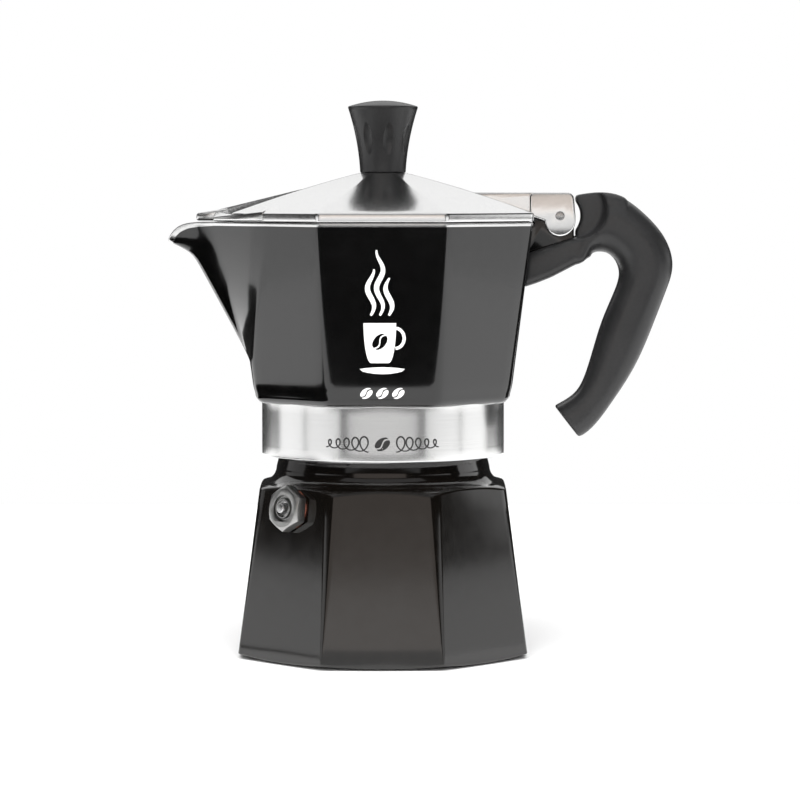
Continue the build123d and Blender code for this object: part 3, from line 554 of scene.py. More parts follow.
WELL_FLOOR = 77.3
WELL_COVE = 1.5
COLUMN_FOOT = (7.8, 80.5)
COLUMN_TOP = (5.8, 112.0)
COLUMN_CAP = (4.3, 114.4)
COLUMN_CROWN = 115.0
SEAT_Z = 72.7
PLATE_TOP = 73.8
BOWL_RADIUS = 31.22
PLATE_RECESS = 27.9
SEAL_INNER = 25.6
DISH = (4.5, 78.5)
BORE_TOP = (3.6, 112.0)
THREAD_CLEARANCE = 0.22

jug_columns = []
for outer, inner in zip(jug_walls(0.0), jug_walls(JUG_WALL)):
    around = atan2(outer[0].y, outer[0].x)
    foot_radius = outer[0].xy.length
    fillet_angles = [pi / 2 * step / 10 for step in range(11)]
    fillet = []
    for turn in fillet_angles:
        radius = foot_radius - FOOT_ROUND * (1 - cos(turn))
        if radius > COLLAR_RADIUS:
            fillet.append(polar(radius, around, FOOT_Z + FOOT_ROUND * (1 - sin(turn))))
    reach = foot_radius - FOOT_ROUND
    meet = FOOT_Z
    if reach < COLLAR_RADIUS:
        meet += FOOT_ROUND - sqrt(FOOT_ROUND**2 - (COLLAR_RADIUS - reach) ** 2)
    fillet.append(polar(COLLAR_RADIUS, around, meet))
    wall_up = [fillet[0]] + [p for p in outer if p.z > FOOT_Z + FOOT_ROUND]
    wall_down = wall_up[::-1]
    nose = min(1.0, max(0.0, (-wall_down[0].x - 50) / 14))
    bare = BARE_EDGE + BARE_NOSE * nose
    edge = walk(wall_down, bare)
    lacquered = [edge] + [p for p in wall_down if length_of([p, wall_down[0]]) > bare]
    inner_top = inner[-1]
    inside_down = [p for p in inner[::-1] if p.z > WELL_FLOOR + WELL_COVE]
    floor_in = Vector((inside_down[-1].x, inside_down[-1].y, WELL_FLOOR)) * 0.955
    floor_in.z = WELL_FLOOR
    thread = [
        polar(
            thread_radius(around, z, THREAD_RADIUS + THREAD_CLEARANCE, COLLAR_FOOT, RIM_Z, 1),
            around, z,
        )
        for z in [COLLAR_FOOT + 0.25 * step for step in range(38)]
    ]
    spans = [
        ([Vector((0, 0, COLUMN_CROWN)), polar(COLUMN_CAP[0], around, COLUMN_CAP[1])], 3, 0.8),
        ([polar(COLUMN_CAP[0], around, COLUMN_CAP[1]), polar(COLUMN_TOP[0], around, COLUMN_TOP[1])], 2, 0.8),
        ([polar(COLUMN_TOP[0], around, COLUMN_TOP[1]), polar(COLUMN_FOOT[0], around, COLUMN_FOOT[1])], 6, 3.0),
        ([polar(COLUMN_FOOT[0], around, COLUMN_FOOT[1]), floor_in], 6, 0.8),
        ([floor_in, inside_down[-1]], 2, 1.2),
        (inside_down[::-1], 22, 0.5),
        ([inner_top, wall_down[0]], 3, 0.5),
        ([wall_down[0], edge], 2, 0),
        (lacquered, 30, 0),
        (fillet, 9, 0.15),
        ([fillet[-1], polar(COLLAR_RADIUS, around, COLLAR_FOOT)], 6, 0.6),
        ([polar(COLLAR_RADIUS, around, COLLAR_FOOT), thread[0]], 3, 0.2),
        (thread, 37, 0),
        ([thread[-1], polar(BOWL_RADIUS, around, RIM_Z + 0.3), polar(BOWL_RADIUS, around, SEAT_Z)], 4, 0.2),
        ([polar(BOWL_RADIUS, around, SEAT_Z), polar(PLATE_RECESS, around, SEAT_Z)], 2, 0.2),
        ([polar(PLATE_RECESS, around, SEAT_Z), polar(PLATE_RECESS, around, PLATE_TOP)], 2, 0.2),
        ([polar(PLATE_RECESS, around, PLATE_TOP), polar(SEAL_INNER, around, PLATE_TOP)], 2, 0.3),
        ([polar(SEAL_INNER, around, PLATE_TOP), polar(DISH[0], around, DISH[1])], 4, 0.6),
        ([polar(DISH[0], around, DISH[1]), polar(BORE_TOP[0], around, BORE_TOP[1])], 5, 0.3),
        ([polar(BORE_TOP[0], around, BORE_TOP[1]), Vector((0, 0, BORE_TOP[1]))], 2, 0),
    ]
    rows, jug_bands = rounded_section(spans)
    jug_columns.append(rows)

jug_lacquer = finish(
    "collector_lacquer", PEEL, 260, 25, (0.0014, 0.0014, 0.0014), (0.0022, 0.0022, 0.0022), (0.09, 0.14), 0.006,
    Specular_IOR_Level=0.5, Coat_Weight=0.4, Coat_Roughness=0.06)
collector = skin(
    "collector_casting", jug_columns, jug_bands,
    [cast] * 7 + [turned] + [jug_lacquer] * 2 + [turned] * 10,
)

def prism(outline, half_width, material, offset=0.0, rounding=0.0, rows=2):
    """A side outline (x, z) made solid across Y, with its edges rounded."""
    bm = bmesh.new()
    near = [bm.verts.new(Vector((x, offset - half_width, z)) * MM) for x, z in outline]
    far = [bm.verts.new(Vector((x, offset + half_width, z)) * MM) for x, z in outline]
    bm.faces.new(near)
    bm.faces.new(far[::-1])
    for i in range(len(outline)):
        j = (i + 1) % len(outline)
        bm.faces.new((near[i], far[i], far[j], near[j]))
    bmesh.ops.recalc_face_normals(bm, faces=bm.faces)
    if rounding > 0:
        edges = [e for e in bm.edges if e.calc_face_angle(0) > radians(25)]
        bmesh.ops.bevel(bm, geom=edges, offset=rounding * MM, segments=rows, profile=0.5, affect="EDGES",
                        clamp_overlap=True)
    return finished_mesh(bm, "prism", [material])


def arc(centre_x, centre_z, radius, start, end, steps):
    """Points of a side arc, angles in degrees."""
    angles = [radians(start + (end - start) * step / steps) for step in range(steps + 1)]
    return [(centre_x + radius * cos(a), centre_z + radius * sin(a)) for a in angles]


PIN_X = 52.6
PIN_Z = 131.1
PIN_BORE = 1.36
LUG_HALF = 3.8
LUG_BOSS = 4.4
TANG_BOTTOM = 118.5
TANG_TOP = 123.6
TANG_END = 61.0
OUTLET_HALF = 2.5
OUTLET_BOTTOM = 107.5
OUTLET_TOP = 112.0
PORT_REACH = 9.0

lug = prism(
    [(40.5, TANG_BOTTOM), (TANG_END, TANG_BOTTOM), (TANG_END, TANG_TOP), (PIN_X + LUG_BOSS, TANG_TOP + 1.2)]
    + arc(PIN_X, PIN_Z, LUG_BOSS, 0, 184, 16)
    + [(44.95, PIN_Z - 0.4), (44.95, TOP_Z - 0.3), (40.5, TOP_Z - 0.3)],
    LUG_HALF, jug_lacquer, rounding=0.5,
)
collector = combined(collector, lug, "UNION")
pin_hole = prism(arc(PIN_X, PIN_Z, PIN_BORE, 0, 345, 23), 2 * LUG_HALF, turned)
collector = combined(collector, pin_hole, "DIFFERENCE")
outlet = prism(
    [(-OUTLET_HALF, OUTLET_BOTTOM), (OUTLET_HALF, OUTLET_BOTTOM), (OUTLET_HALF, OUTLET_TOP),
     (-OUTLET_HALF, OUTLET_TOP)], PORT_REACH, cast, rounding=0.6,
)
collector = combined(collector, outlet, "DIFFERENCE")
in_place(collector, "collector", "collector_lacquer", "collector")

# ---------------------------------------------------------------------------------------------
# Lid: die-cast aluminium, polished bright. A shallow eight-sided roof with a rim band, a cover
# over the spout that ends in a narrow nose, and a rib with two ears that hold the hinge pin.

LID_APOTHEM = 44.5
LID_CORNER = 2.7
LID_FOOT = 129.6
BAND_TOP = 132.0
APEX_Z = 143.9
APEX_APOTHEM = 6.8
ROOF_SLOPE = 0.262
ROOF_BOW = 0.00142
SCREW_HOLE = 2.1
LID_WALL = 1.9
BAND_WALL = 2.2


def polish_lines(tree, start):
    """Faint straight strokes of a polishing belt, drawn out along Y."""
    stretch = tree.nodes.new("ShaderNodeMapping")
    stretch.inputs["Scale"].default_value = (1.0, 0.04, 1.0)
    strokes = tree.nodes.new("ShaderNodeTexNoise")
    strokes.inputs["Detail"].default_value = 5
    tree.links.new(start.outputs["Coordinates"], stretch.inputs["Vector"])
    tree.links.new(stretch.outputs["Vector"], strokes.inputs["Vector"])
    tree.links.new(start.outputs["Fine Scale"], strokes.inputs["Scale"])
    return strokes.outputs["Fac"]


STROKES = pattern_group("polish_strokes", polish_lines)
polished = finish(
    "polished_aluminium", STROKES, 1500, 16, (0.84, 0.84, 0.84), (0.92, 0.92, 0.915), (0.13, 0.21), 0.0012,
    Metallic=1.0)


def roof_height(apothem):
    """Height of the roof over a facet's middle line: a slope that steepens towards the rim."""
    out = max(0.0, apothem - APEX_APOTHEM)
    return APEX_Z - ROOF_SLOPE * out - ROOF_BOW * out * out


roof_steps = [APEX_APOTHEM + (LID_APOTHEM - APEX_APOTHEM) * step / 12 for step in range(13)]
under_steps = [apothem for apothem in roof_steps if apothem < LID_APOTHEM - BAND_WALL - 0.6]
roof_rings = [(rounded_octagon(a, 0.8 + (LID_CORNER - 0.8) * a / LID_APOTHEM), roof_height(a)) for a in roof_steps]
under_rings = [(rounded_octagon(a, 1.5), roof_height(a) - LID_WALL) for a in under_steps]
foot_outer = rounded_octagon(LID_APOTHEM, LID_CORNER)
foot_inner = rounded_octagon(LID_APOTHEM - BAND_WALL, LID_CORNER)
lid_columns = []
for column in range(len(foot_outer)):
    def ring_point(ring, column=column):
        points, z = ring
        return Vector((points[column].x, points[column].y, z))

    roof = [ring_point(ring) for ring in roof_rings]
    under = [ring_point(ring) for ring in under_rings]
    around = atan2(roof[0].y, roof[0].x)
    eave_in = ring_point((foot_inner, BAND_TOP - 1.3))
    spans = [
        ([polar(SCREW_HOLE, around, APEX_Z), roof[0]], 2, 0.6),
        (roof, 16, 0.5),
        ([roof[-1], ring_point((foot_outer, LID_FOOT))], 2, 0.35),
        ([ring_point((foot_outer, LID_FOOT)), ring_point((foot_inner, LID_FOOT))], 2, 0.35),
        ([ring_point((foot_inner, LID_FOOT)), eave_in], 2, 0.5),
        ([eave_in] + under[::-1], 12, 0.5),
        ([under[0], polar(SCREW_HOLE, around, APEX_Z - LID_WALL)], 2, 0.2),
        ([polar(SCREW_HOLE, around, APEX_Z - LID_WALL), polar(SCREW_HOLE, around, APEX_Z - 0.05)], 1, 0),
    ]
    rows, lid_bands = rounded_section(spans)
    lid_bands.append(7)
    lid_columns.append(rows)
lid = skin("lid_casting", lid_columns, lid_bands, [polished] * 4 + [cast] * 4, looped=True)

COVER_RIDGE = (-47.0, 133.5)
COVER_FALL_X = 0.245
COVER_FALL_Y = 0.142
COVER_STATIONS = ((-24.0, 2.0), (-29.2, 13.6), (-34.8, 28.2), (-50.1, 12.9))
COVER_WALL = 1.7
NUDGE = 0.03
COVER_SIDE = 2.3
NOSE_STATIONS = ((-46.0, 6.0, 133.4), (-55.6, 4.2, 131.9))


def station_solid(stations, rounding, material):
    """A solid through upright cross-sections along X; each one is a list of (y, z) corners."""
    bm = bmesh.new()
    rings = [[bm.verts.new(Vector((x, y, z)) * MM) for y, z in corners] for x, corners in stations]
    for left, right in zip(rings, rings[1:]):
        for i in range(len(left)):
            j = (i + 1) % len(left)
            bm.faces.new((left[i], left[j], right[j], right[i]))
    bm.faces.new(rings[0])
    bm.faces.new(rings[-1][::-1])
    bmesh.ops.recalc_face_normals(bm, faces=bm.faces)
    edges = [e for e in bm.edges if e.calc_face_angle(0) > radians(8)]
    if rounding > 0:
        bmesh.ops.bevel(bm, geom=edges, offset=rounding * MM, segments=3, profile=0.5, affect="EDGES",
                        clamp_overlap=True)
    return finished_mesh(bm, "stations", [material])


def cover_stations(drop, narrow, foot):
    stations = []
    for x, half in COVER_STATIONS:
        ridge = COVER_RIDGE[1] + COVER_FALL_X * (x - COVER_RIDGE[0]) - drop
        half = max(half - narrow, 0.5)
        eave = ridge - COVER_FALL_Y * half
        stations.append((x, [(-half, foot), (-half, eave), (0, ridge), (half, eave), (half, foot)]))
    return stations


def nose_stations(shrink, foot):
    return [
        (x, [(-half + shrink, foot), (-half + shrink, top - shrink), (half - shrink, top - shrink),
             (half - shrink, foot)])
        for x, half, top in NOSE_STATIONS
    ]


lid = combined(lid, station_solid(cover_stations(0, 0, LID_FOOT + NUDGE), 0.4, polished), "UNION")
lid = combined(lid, station_solid(nose_stations(0, LID_FOOT + 2 * NUDGE), 0.7, polished), "UNION")
cover_hollow = station_solid(cover_stations(COVER_WALL, COVER_SIDE, LID_FOOT - 1), 0.3, cast)
lid = combined(lid, cover_hollow, "DIFFERENCE")

RIB_TOP = 138.0
RIB_HALF = 6.0
RIB_ROOT = 26.0
RIB_ROOT_DEPTH = 0.8
BRIDGE_FOOT = 131.3
BRIDGE_BACK = 45.0
EAR_FRONT = 43.6
EAR_BACK = 57.2
EAR_OUTER = 8.4
EAR_INNER = 4.2
EAR_FOOT = 125.0
EAR_HALF = 4.6
EAR_THICK = EAR_OUTER - EAR_INNER

rib = prism([(RIB_ROOT, RIB_TOP - RIB_ROOT_DEPTH), (RIB_ROOT, RIB_TOP), (BRIDGE_BACK, RIB_TOP), (BRIDGE_BACK, BRIDGE_FOOT),
             (LID_APOTHEM - 1, BRIDGE_FOOT)], RIB_HALF, polished, rounding=0.7, rows=3)
lid = combined(lid, rib, "UNION")
bridge = prism([(EAR_FRONT + NUDGE, BRIDGE_FOOT + NUDGE), (EAR_FRONT + NUDGE, RIB_TOP - NUDGE),
                (BRIDGE_BACK - NUDGE, RIB_TOP - NUDGE), (BRIDGE_BACK - NUDGE, BRIDGE_FOOT + NUDGE)],
               EAR_OUTER - 0.3, polished, rounding=0.2)
lid = combined(lid, bridge, "UNION")
ear_outline = (
    [(EAR_FRONT, PIN_Z), (EAR_FRONT, RIB_TOP - 1.2), (EAR_FRONT + 0.35, RIB_TOP - 0.35),
     (EAR_FRONT + 1.2, RIB_TOP), (EAR_BACK - 2.2, RIB_TOP)]
    + arc(EAR_BACK - 2.4, RIB_TOP - 2.0, 2.0, 80, 10, 5)
    + [(EAR_BACK, PIN_Z)]
    + arc(PIN_X, EAR_FOOT + EAR_HALF, EAR_HALF, 0, -180, 20)
)
for side in (-1, 1):
    ear_middle = side * (EAR_OUTER + EAR_INNER) / 2
    ear = prism(ear_outline, EAR_THICK / 2, polished, ear_middle, rounding=0.55, rows=3)
    lid = combined(lid, ear, "UNION")
pin_hole = prism(arc(PIN_X, PIN_Z, PIN_BORE, 0, 345, 23), 2 * EAR_OUTER, turned)
lid = combined(lid, pin_hole, "DIFFERENCE")
in_place(lid, "lid", "lid_aluminium", "lid")

# ---------------------------------------------------------------------------------------------
# Knob: phenolic plastic, moulded round a threaded bush. It is waisted and domed, with eight
# leaf-shaped flutes scooped out of its side for a grip that stays put with wet fingers.

KNOB_FOOT = (6.8, 143.9)
KNOB_WAIST = (7.95, 153.6)
KNOB_EDGE = (10.4, 163.2)
KNOB_TOP = 165.4
KNOB_COLUMNS = 144
POCKET_RADIUS = 3.2
POCKET_TOP = 151.8
FLUTES = 8
FLUTE_FIRST = -78.0
FLUTE_MID = (9.95, 153.4)
FLUTE_HALF_LENGTH = 8.2
FLUTE_DEPTH = 2.7
FLUTE_TILT = 9.5


def knob_radius(z):
    """The knob's waisted side: one smooth curve through its foot, waist and edge."""
    (r0, z0), (r1, z1), (r2, z2) = KNOB_FOOT, KNOB_WAIST, KNOB_EDGE
    return (
        r0 * (z - z1) * (z - z2) / ((z0 - z1) * (z0 - z2))
        + r1 * (z - z0) * (z - z2) / ((z1 - z0) * (z1 - z2))
        + r2 * (z - z0) * (z - z1) / ((z2 - z0) * (z2 - z1))
    )


plastic = finish(
    "black_phenolic", GRAIN, 1100, 45, (0.014, 0.014, 0.0145), (0.021, 0.021, 0.0215), (0.30, 0.42), 0.012,
    Specular_IOR_Level=0.5)

knob_columns = []
for column in range(KNOB_COLUMNS):
    around = 2 * pi * column / KNOB_COLUMNS
    heights = [KNOB_FOOT[1] + (KNOB_EDGE[1] - KNOB_FOOT[1]) * step / 16 for step in range(17)]
    side = [polar(knob_radius(z), around, z) for z in heights]
    crown_start = KNOB_EDGE[1] + 0.45
    crown = [
        polar(KNOB_EDGE[0] * (1 - step / 12), around,
              crown_start + (KNOB_TOP - crown_start) * (1 - (1 - step / 12) ** 2))
        for step in range(13)
    ]
    spans = [
        ([Vector((0, 0, POCKET_TOP)), polar(POCKET_RADIUS, around, POCKET_TOP)], 2, 0),
        ([polar(POCKET_RADIUS, around, POCKET_TOP), polar(POCKET_RADIUS, around, KNOB_FOOT[1])], 3, 0.2),
        ([polar(POCKET_RADIUS, around, KNOB_FOOT[1]), side[0]], 3, 0.5),
        (side, 24, 0),
        ([side[-1], crown[0]], 1, 0.45),
        (crown, 12, 0),
    ]
    rows, knob_bands = rounded_section(spans)
    knob_columns.append(rows)
knob = skin("knob_moulding", knob_columns, knob_bands, [plastic] * 6)

flute_ring = FLUTE_HALF_LENGTH**2 / (2 * FLUTE_DEPTH) + FLUTE_DEPTH / 2
for turn in range(FLUTES):
    spindle = []
    for column in range(40):
        angle = 2 * pi * column / 40
        spindle.append([
            Vector((
                (sqrt(flute_ring**2 - t * t) - flute_ring + FLUTE_DEPTH) * cos(angle),
                (sqrt(flute_ring**2 - t * t) - flute_ring + FLUTE_DEPTH) * sin(angle), t,
            ))
            for t in [-FLUTE_HALF_LENGTH * cos(pi * step / 30) for step in range(31)]
        ])
    cutter = skin("flute", spindle, [0] * 30, [plastic])
    cutter.data.transform(
        Matrix.Rotation(radians(FLUTE_FIRST + turn * 360 / FLUTES), 4, "Z")
        @ Matrix.Translation(Vector((FLUTE_MID[0], 0, FLUTE_MID[1])) * MM)
        @ Matrix.Rotation(radians(FLUTE_TILT), 4, "Y")
    )
    knob = combined(knob, cutter, "DIFFERENCE", sharp=radians(30))
in_place(knob, "lid", "knob_plastic", "knob")

# ---------------------------------------------------------------------------------------------
# Handle: one phenolic moulding. Its lower arm holds the tang on the pot, its nose stands behind
# the hinge, and the grip hooks down to a cut heel. Every edge is softened by the mould.

HANDLE_VOXEL = 0.5


def cad_copy(node, name, material):
    """A CAD node's shape as one joined surface, on an object of its own."""
    bm = bmesh.new()
    bm.from_mesh(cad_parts[node].data)
    bmesh.ops.remove_doubles(bm, verts=bm.verts, dist=2e-6)
    for face in bm.faces:
        face.material_index = 0
    return finished_mesh(bm, name, [material])


handle = cad_copy("handle", "handle_moulding", plastic)
even = handle.modifiers.new("even", "REMESH")
even.mode = "VOXEL"
even.voxel_size = HANDLE_VOXEL * MM
even.use_smooth_shade = True
soften = handle.modifiers.new("soften", "SMOOTH")
soften.factor = 0.5
soften.iterations = 9
applied(handle)
in_place(handle, "collector", "handle_plastic", "handle")

# ---------------------------------------------------------------------------------------------
# Small metal parts: the safety valve's nickel-plated body with its washer, stem and retainer,
# the hinge pin, the two slotted screws and their washers, and the brass bush in the knob.


def dressed(node, name, rounding, material, sharp=radians(30)):
    """A small turned or stamped part with its hard edges broken."""
    piece = cad_copy(node, name, material)
    bm = bmesh.new()
    bm.from_mesh(piece.data)
    bmesh.ops.dissolve_limit(bm, angle_limit=radians(2), verts=bm.verts, edges=bm.edges)
    bm.to_mesh(piece.data)
    bm.free()
    edge = piece.modifiers.new("edge", "BEVEL")
    edge.width = rounding * MM
    edge.segments = 2
    edge.limit_method = "ANGLE"
    edge.angle_limit = radians(28)
    edge.use_clamp_overlap = True
    applied(piece)
    for polygon in piece.data.polygons:
        polygon.use_smooth = True
    piece.data.set_sharp_from_angle(angle=sharp)
    return piece


nickel = finish(
    "nickel_plate", GRAIN, 1400, 120, (0.34, 0.34, 0.335), (0.50, 0.50, 0.49), (0.26, 0.42), 0.010,
    Metallic=1.0)
steel = finish(
    "bright_steel", GRAIN, 1600, 150, (0.50, 0.50, 0.50), (0.66, 0.66, 0.66), (0.22, 0.36), 0.006,
    Metallic=1.0)
fibre = finish(
    "pressed_fibre", GRAIN, 1800, 150, (0.22, 0.07, 0.045), (0.34, 0.12, 0.08), (0.60, 0.80), 0.03)
brass = finish(
    "turned_brass", TURNING, 2600, 60, (0.62, 0.46, 0.20), (0.76, 0.60, 0.30), (0.24, 0.36), 0.004,
    Metallic=1.0)

SMALL_PARTS = (
    ("safety_valve_body", "boiler", "valve_nickel", nickel, 0.18),
    ("valve_seal_washer", "boiler", "fibre_washer", fibre, 0.1),
    ("valve_stem", "valve_stem", "valve_steel", steel, 0.08),
    ("valve_retainer", "boiler", "valve_steel", steel, 0.06),
    ("hinge_pin", "lid", "pin_steel", steel, 0.2),
    ("knob_screw", "lid", "screw_steel", steel, 0.1),
    ("knob_washer", "lid", "screw_steel", steel, 0.08),
    ("handle_screw", "collector", "screw_steel", steel, 0.1),
    ("handle_washer", "collector", "screw_steel", steel, 0.08),
    ("knob_insert", "lid", "insert_brass", brass, 0.12),
)
for node, body, slot, material, rounding in SMALL_PARTS:
    part = dressed(node, node + "_part", rounding, material)
    in_place(part, body, slot, node)

# ---------------------------------------------------------------------------------------------
# Valve spring: hard-drawn wire wound into a coil between the stem's flange and the retainer.

SPRING_FOOT = -2.73
SPRING_HEIGHT = 4.86
SPRING_RADIUS = 1.92
SPRING_WIRE = 0.22
SPRING_TURNS = 4.05



def coil_tree():
    """Geometry nodes: a round wire along a coil."""
    tree = bpy.data.node_groups.new("wire_coil", "GeometryNodeTree")
    tree_input(tree, "Coil Radius", SPRING_RADIUS * MM)
    tree_input(tree, "Height", SPRING_HEIGHT * MM)
    tree_input(tree, "Turns", SPRING_TURNS)
    tree_input(tree, "Wire Radius", SPRING_WIRE * MM)
    tree_input(tree, "Finish", None, "NodeSocketMaterial")
    tree.interface.new_socket("Geometry", in_out="OUTPUT", socket_type="NodeSocketGeometry")
    start = tree.nodes.new("NodeGroupInput")
    end = tree.nodes.new("NodeGroupOutput")
    coil = tree.nodes.new("GeometryNodeCurveSpiral")
    coil.inputs["Resolution"].default_value = 32
    wire = tree.nodes.new("GeometryNodeCurvePrimitiveCircle")
    wire.inputs["Resolution"].default_value = 12
    tube = tree.nodes.new("GeometryNodeCurveToMesh")
    tube.inputs["Fill Caps"].default_value = True
    whole = tree.nodes.new("GeometryNodeRealizeInstances")
    finish = tree.nodes.new("GeometryNodeSetMaterial")
    link = tree.links.new
    link(start.outputs["Coil Radius"], coil.inputs["Start Radius"])
    link(start.outputs["Coil Radius"], coil.inputs["End Radius"])
    link(start.outputs["Height"], coil.inputs["Height"])
    link(start.outputs["Turns"], coil.inputs["Rotations"])
    link(start.outputs["Wire Radius"], wire.inputs["Radius"])
    link(coil.outputs["Curve"], tube.inputs["Curve"])
    link(wire.outputs["Curve"], tube.inputs["Profile Curve"])
    link(tube.outputs["Mesh"], whole.inputs["Geometry"])
    link(whole.outputs["Geometry"], finish.inputs["Geometry"])
    link(start.outputs["Finish"], finish.inputs["Material"])
    link(finish.outputs["Geometry"], end.inputs["Geometry"])
    return tree


def grown(name, tree, values):
    """A plain mesh object made by a geometry tree with the given named inputs."""
    piece = bpy.data.objects.new(name, bpy.data.meshes.new(name))
    bpy.context.scene.collection.objects.link(piece)
    maker = piece.modifiers.new("maker", "NODES")
    maker.node_group = tree
    for item in tree.interface.items_tree:
        if item.in_out == "INPUT" and item.name in values:
            maker[item.identifier] = values[item.name]
    applied(piece)
    for polygon in piece.data.polygons:
        polygon.use_smooth = True
    return piece

spring = grown("valve_spring_wire", coil_tree(), {"Finish": steel})
spring.data.transform(valve_place @ Matrix.Translation(Vector((0, 0, SPRING_FOOT)) * MM))
in_place(spring, "boiler", "spring_steel", "valve_spring")
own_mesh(spring)

# ---------------------------------------------------------------------------------------------
# Funnel, strainer, filter plate and seals: spun and stamped aluminium sheet, and moulded silicone
# rubber. They lie inside, and keep the shapes they are stamped, spun or moulded to.

spun = finish(
    "spun_aluminium", TURNING, 2400, 30, (0.70, 0.70, 0.69), (0.80, 0.80, 0.79), (0.28, 0.42), 0.005,
    Metallic=1.0)
rubber = finish(
    "seal_rubber", GRAIN, 1300, 60, (0.78, 0.77, 0.73), (0.86, 0.85, 0.82), (0.55, 0.72), 0.02)
INNER_FINISHES = {
    "funnel": spun, "funnel_strainer": spun, "filter_plate": spun, "gasket": rubber, "valve_seat_seal": rubber,
}
for node, material in INNER_FINISHES.items():
    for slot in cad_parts[node].material_slots:
        slot.material = material

# ---------------------------------------------------------------------------------------------
# Print on the front facet: a plain white steaming cup over three beans, screen-printed. Each
# shape is a very thin solid that follows the facet.

INK_LIFT = 0.03
INK_DEPTH = 0.06
PRINT_FOOT = 77.6


def on_facet(u, v, lift):
    """A point of the print: u across, v up the front facet, lift outwards."""
    z = PRINT_FOOT + v
    return Vector((u, -jug_apothem(z) - lift, z)) * MM


def on_collar(u, v, lift):
    """A point of the engraving: u round the collar from its front, v up, lift outwards."""
    return polar(COLLAR_RADIUS + lift, FRONT + u / COLLAR_RADIUS, v) * MM


white_ink = finish(
    "white_print", GRAIN, 1500, 80, (0.88, 0.88, 0.87), (0.95, 0.95, 0.94), (0.32, 0.45), 0.004)


def ink(bm, outline, place, lift=INK_LIFT):
    """One thin closed shape from an outline in the print's own plane."""
    front = [bm.verts.new(place(u, v, lift)) for u, v in outline]
    back = [bm.verts.new(place(u, v, lift - INK_DEPTH)) for u, v in outline]
    bm.faces.new(front)
    bm.faces.new(back[::-1])
    for i in range(len(outline)):
        j = (i + 1) % len(outline)
        bm.faces.new((front[i], back[i], back[j], front[j]))


def stroke(bm, line, widths, place, lift=INK_LIFT):
    """A pen stroke: short flat pieces along a line, as wide as it says at each point."""
    left = []
    right = []
    for i, (u, v) in enumerate(line):
        u0, v0 = line[max(i - 1, 0)]
        u1, v1 = line[min(i + 1, len(line) - 1)]
        span = hypot(u1 - u0, v1 - v0)
        across = (-(v1 - v0) / span * widths[i] / 2, (u1 - u0) / span * widths[i] / 2)
        left.append((u + across[0], v + across[1]))
        right.append((u - across[0], v - across[1]))
    rings = []
    for (lu, lv), (ru, rv) in zip(left, right):
        rings.append([
            bm.verts.new(place(lu, lv, lift)), bm.verts.new(place(ru, rv, lift)),
            bm.verts.new(place(ru, rv, lift - INK_DEPTH)), bm.verts.new(place(lu, lv, lift - INK_DEPTH)),
        ])
    for first, second in zip(rings, rings[1:]):
        for i in range(4):
            j = (i + 1) % 4
            bm.faces.new((first[i], first[j], second[j], second[i]))
    bm.faces.new(rings[0][::-1])
    bm.faces.new(rings[-1])


def bean_halves(u, v, length, breadth, tilt, gap):
    """The two halves of a coffee bean, either side of its wavy crease."""
    halves = []
    steps = [-1 + 2 * i / 14 for i in range(15)]
    for side in (-1, 1):
        rim = [(t * length / 2, side * breadth / 2 * sqrt(1 - t * t)) for t in steps[1:-1]]
        crease = [(t * length / 2 * 0.94, side * gap + 0.16 * breadth * sin(pi * t)) for t in steps[::-1]]
        crease = [(a, b) for a, b in crease if side * b < breadth / 2 * sqrt(max(0.0, 1 - (2 * a / length) ** 2))]
        outline = rim + crease
        halves.append([
            (u + a * cos(tilt) - b * sin(tilt), v + a * sin(tilt) + b * cos(tilt)) for a, b in outline
        ])
    return halves


def printed(bm, name, material, body):
    bmesh.ops.recalc_face_normals(bm, faces=bm.faces)
    piece = finished_mesh(bm, name, [material], sharp=radians(25))
    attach(piece, body)
    return piece


CUP_MID = -0.7
CUP_TOP = (4.7, 23.0)
CUP_FOOT = (2.5, 11.4)
SAUCER = (6.5, 8.2, 10.2)
STEAM_FOOT = 25.2
STEAM_TOPS = ((-3.3, 38.5), (-0.7, 44.0), (1.9, 36.0))

art = bmesh.new()
cup_side = [
    (CUP_FOOT[0] + (CUP_TOP[0] - CUP_FOOT[0]) * sin(pi / 2 * t / 10),
     CUP_FOOT[1] + (CUP_TOP[1] - CUP_FOOT[1]) * (1 - cos(pi / 2 * t / 10)))
    for t in range(11)
]
ink(art, [(CUP_MID - a, b) for a, b in cup_side] + [(CUP_MID + a, b) for a, b in cup_side[::-1]], on_facet)
ear_line = [(CUP_MID + 4.5 + 2.5 * sin(radians(a)), 18.6 + 2.9 * cos(radians(a))) for a in range(0, 181, 12)]
stroke(art, ear_line, [0.9] * len(ear_line), on_facet)
saucer_top = [(SAUCER[0] * (1 - t / 6), SAUCER[2] - 0.5 * (1 - t / 6) ** 2) for t in range(13)]
saucer_foot = [(-SAUCER[0] * (1 - t / 8), SAUCER[1] + 1.0 * (1 - t / 8) ** 2) for t in range(17)]
ink(art, saucer_top + saucer_foot[1:-1], on_facet)
for middle, top in STEAM_TOPS:
    wisp = []
    for t in range(25):
        rise = STEAM_FOOT + (top - STEAM_FOOT) * t / 24
        wisp.append((middle + 0.95 * sin(2 * pi * (rise - STEAM_FOOT) / 10.5), rise))
    stroke(art, wisp, [0.35 + 1.15 * sin(pi * min(1.0, (t + 2) / 27)) for t in range(25)], on_facet)
for u in (-4.6, 0.0, 4.6):
    for half in bean_halves(u, 2.6, 4.0, 2.7, radians(35), 0.2):
        ink(art, half, on_facet)
front_print = printed(art, "front_print", white_ink, "collector")

art = bmesh.new()
for half in bean_halves(CUP_MID, 17.6, 5.4, 3.6, radians(50), 0.22):
    ink(art, half, on_facet, lift=2 * INK_LIFT)
cup_bean = printed(art, "cup_bean_print", jug_lacquer, "collector")

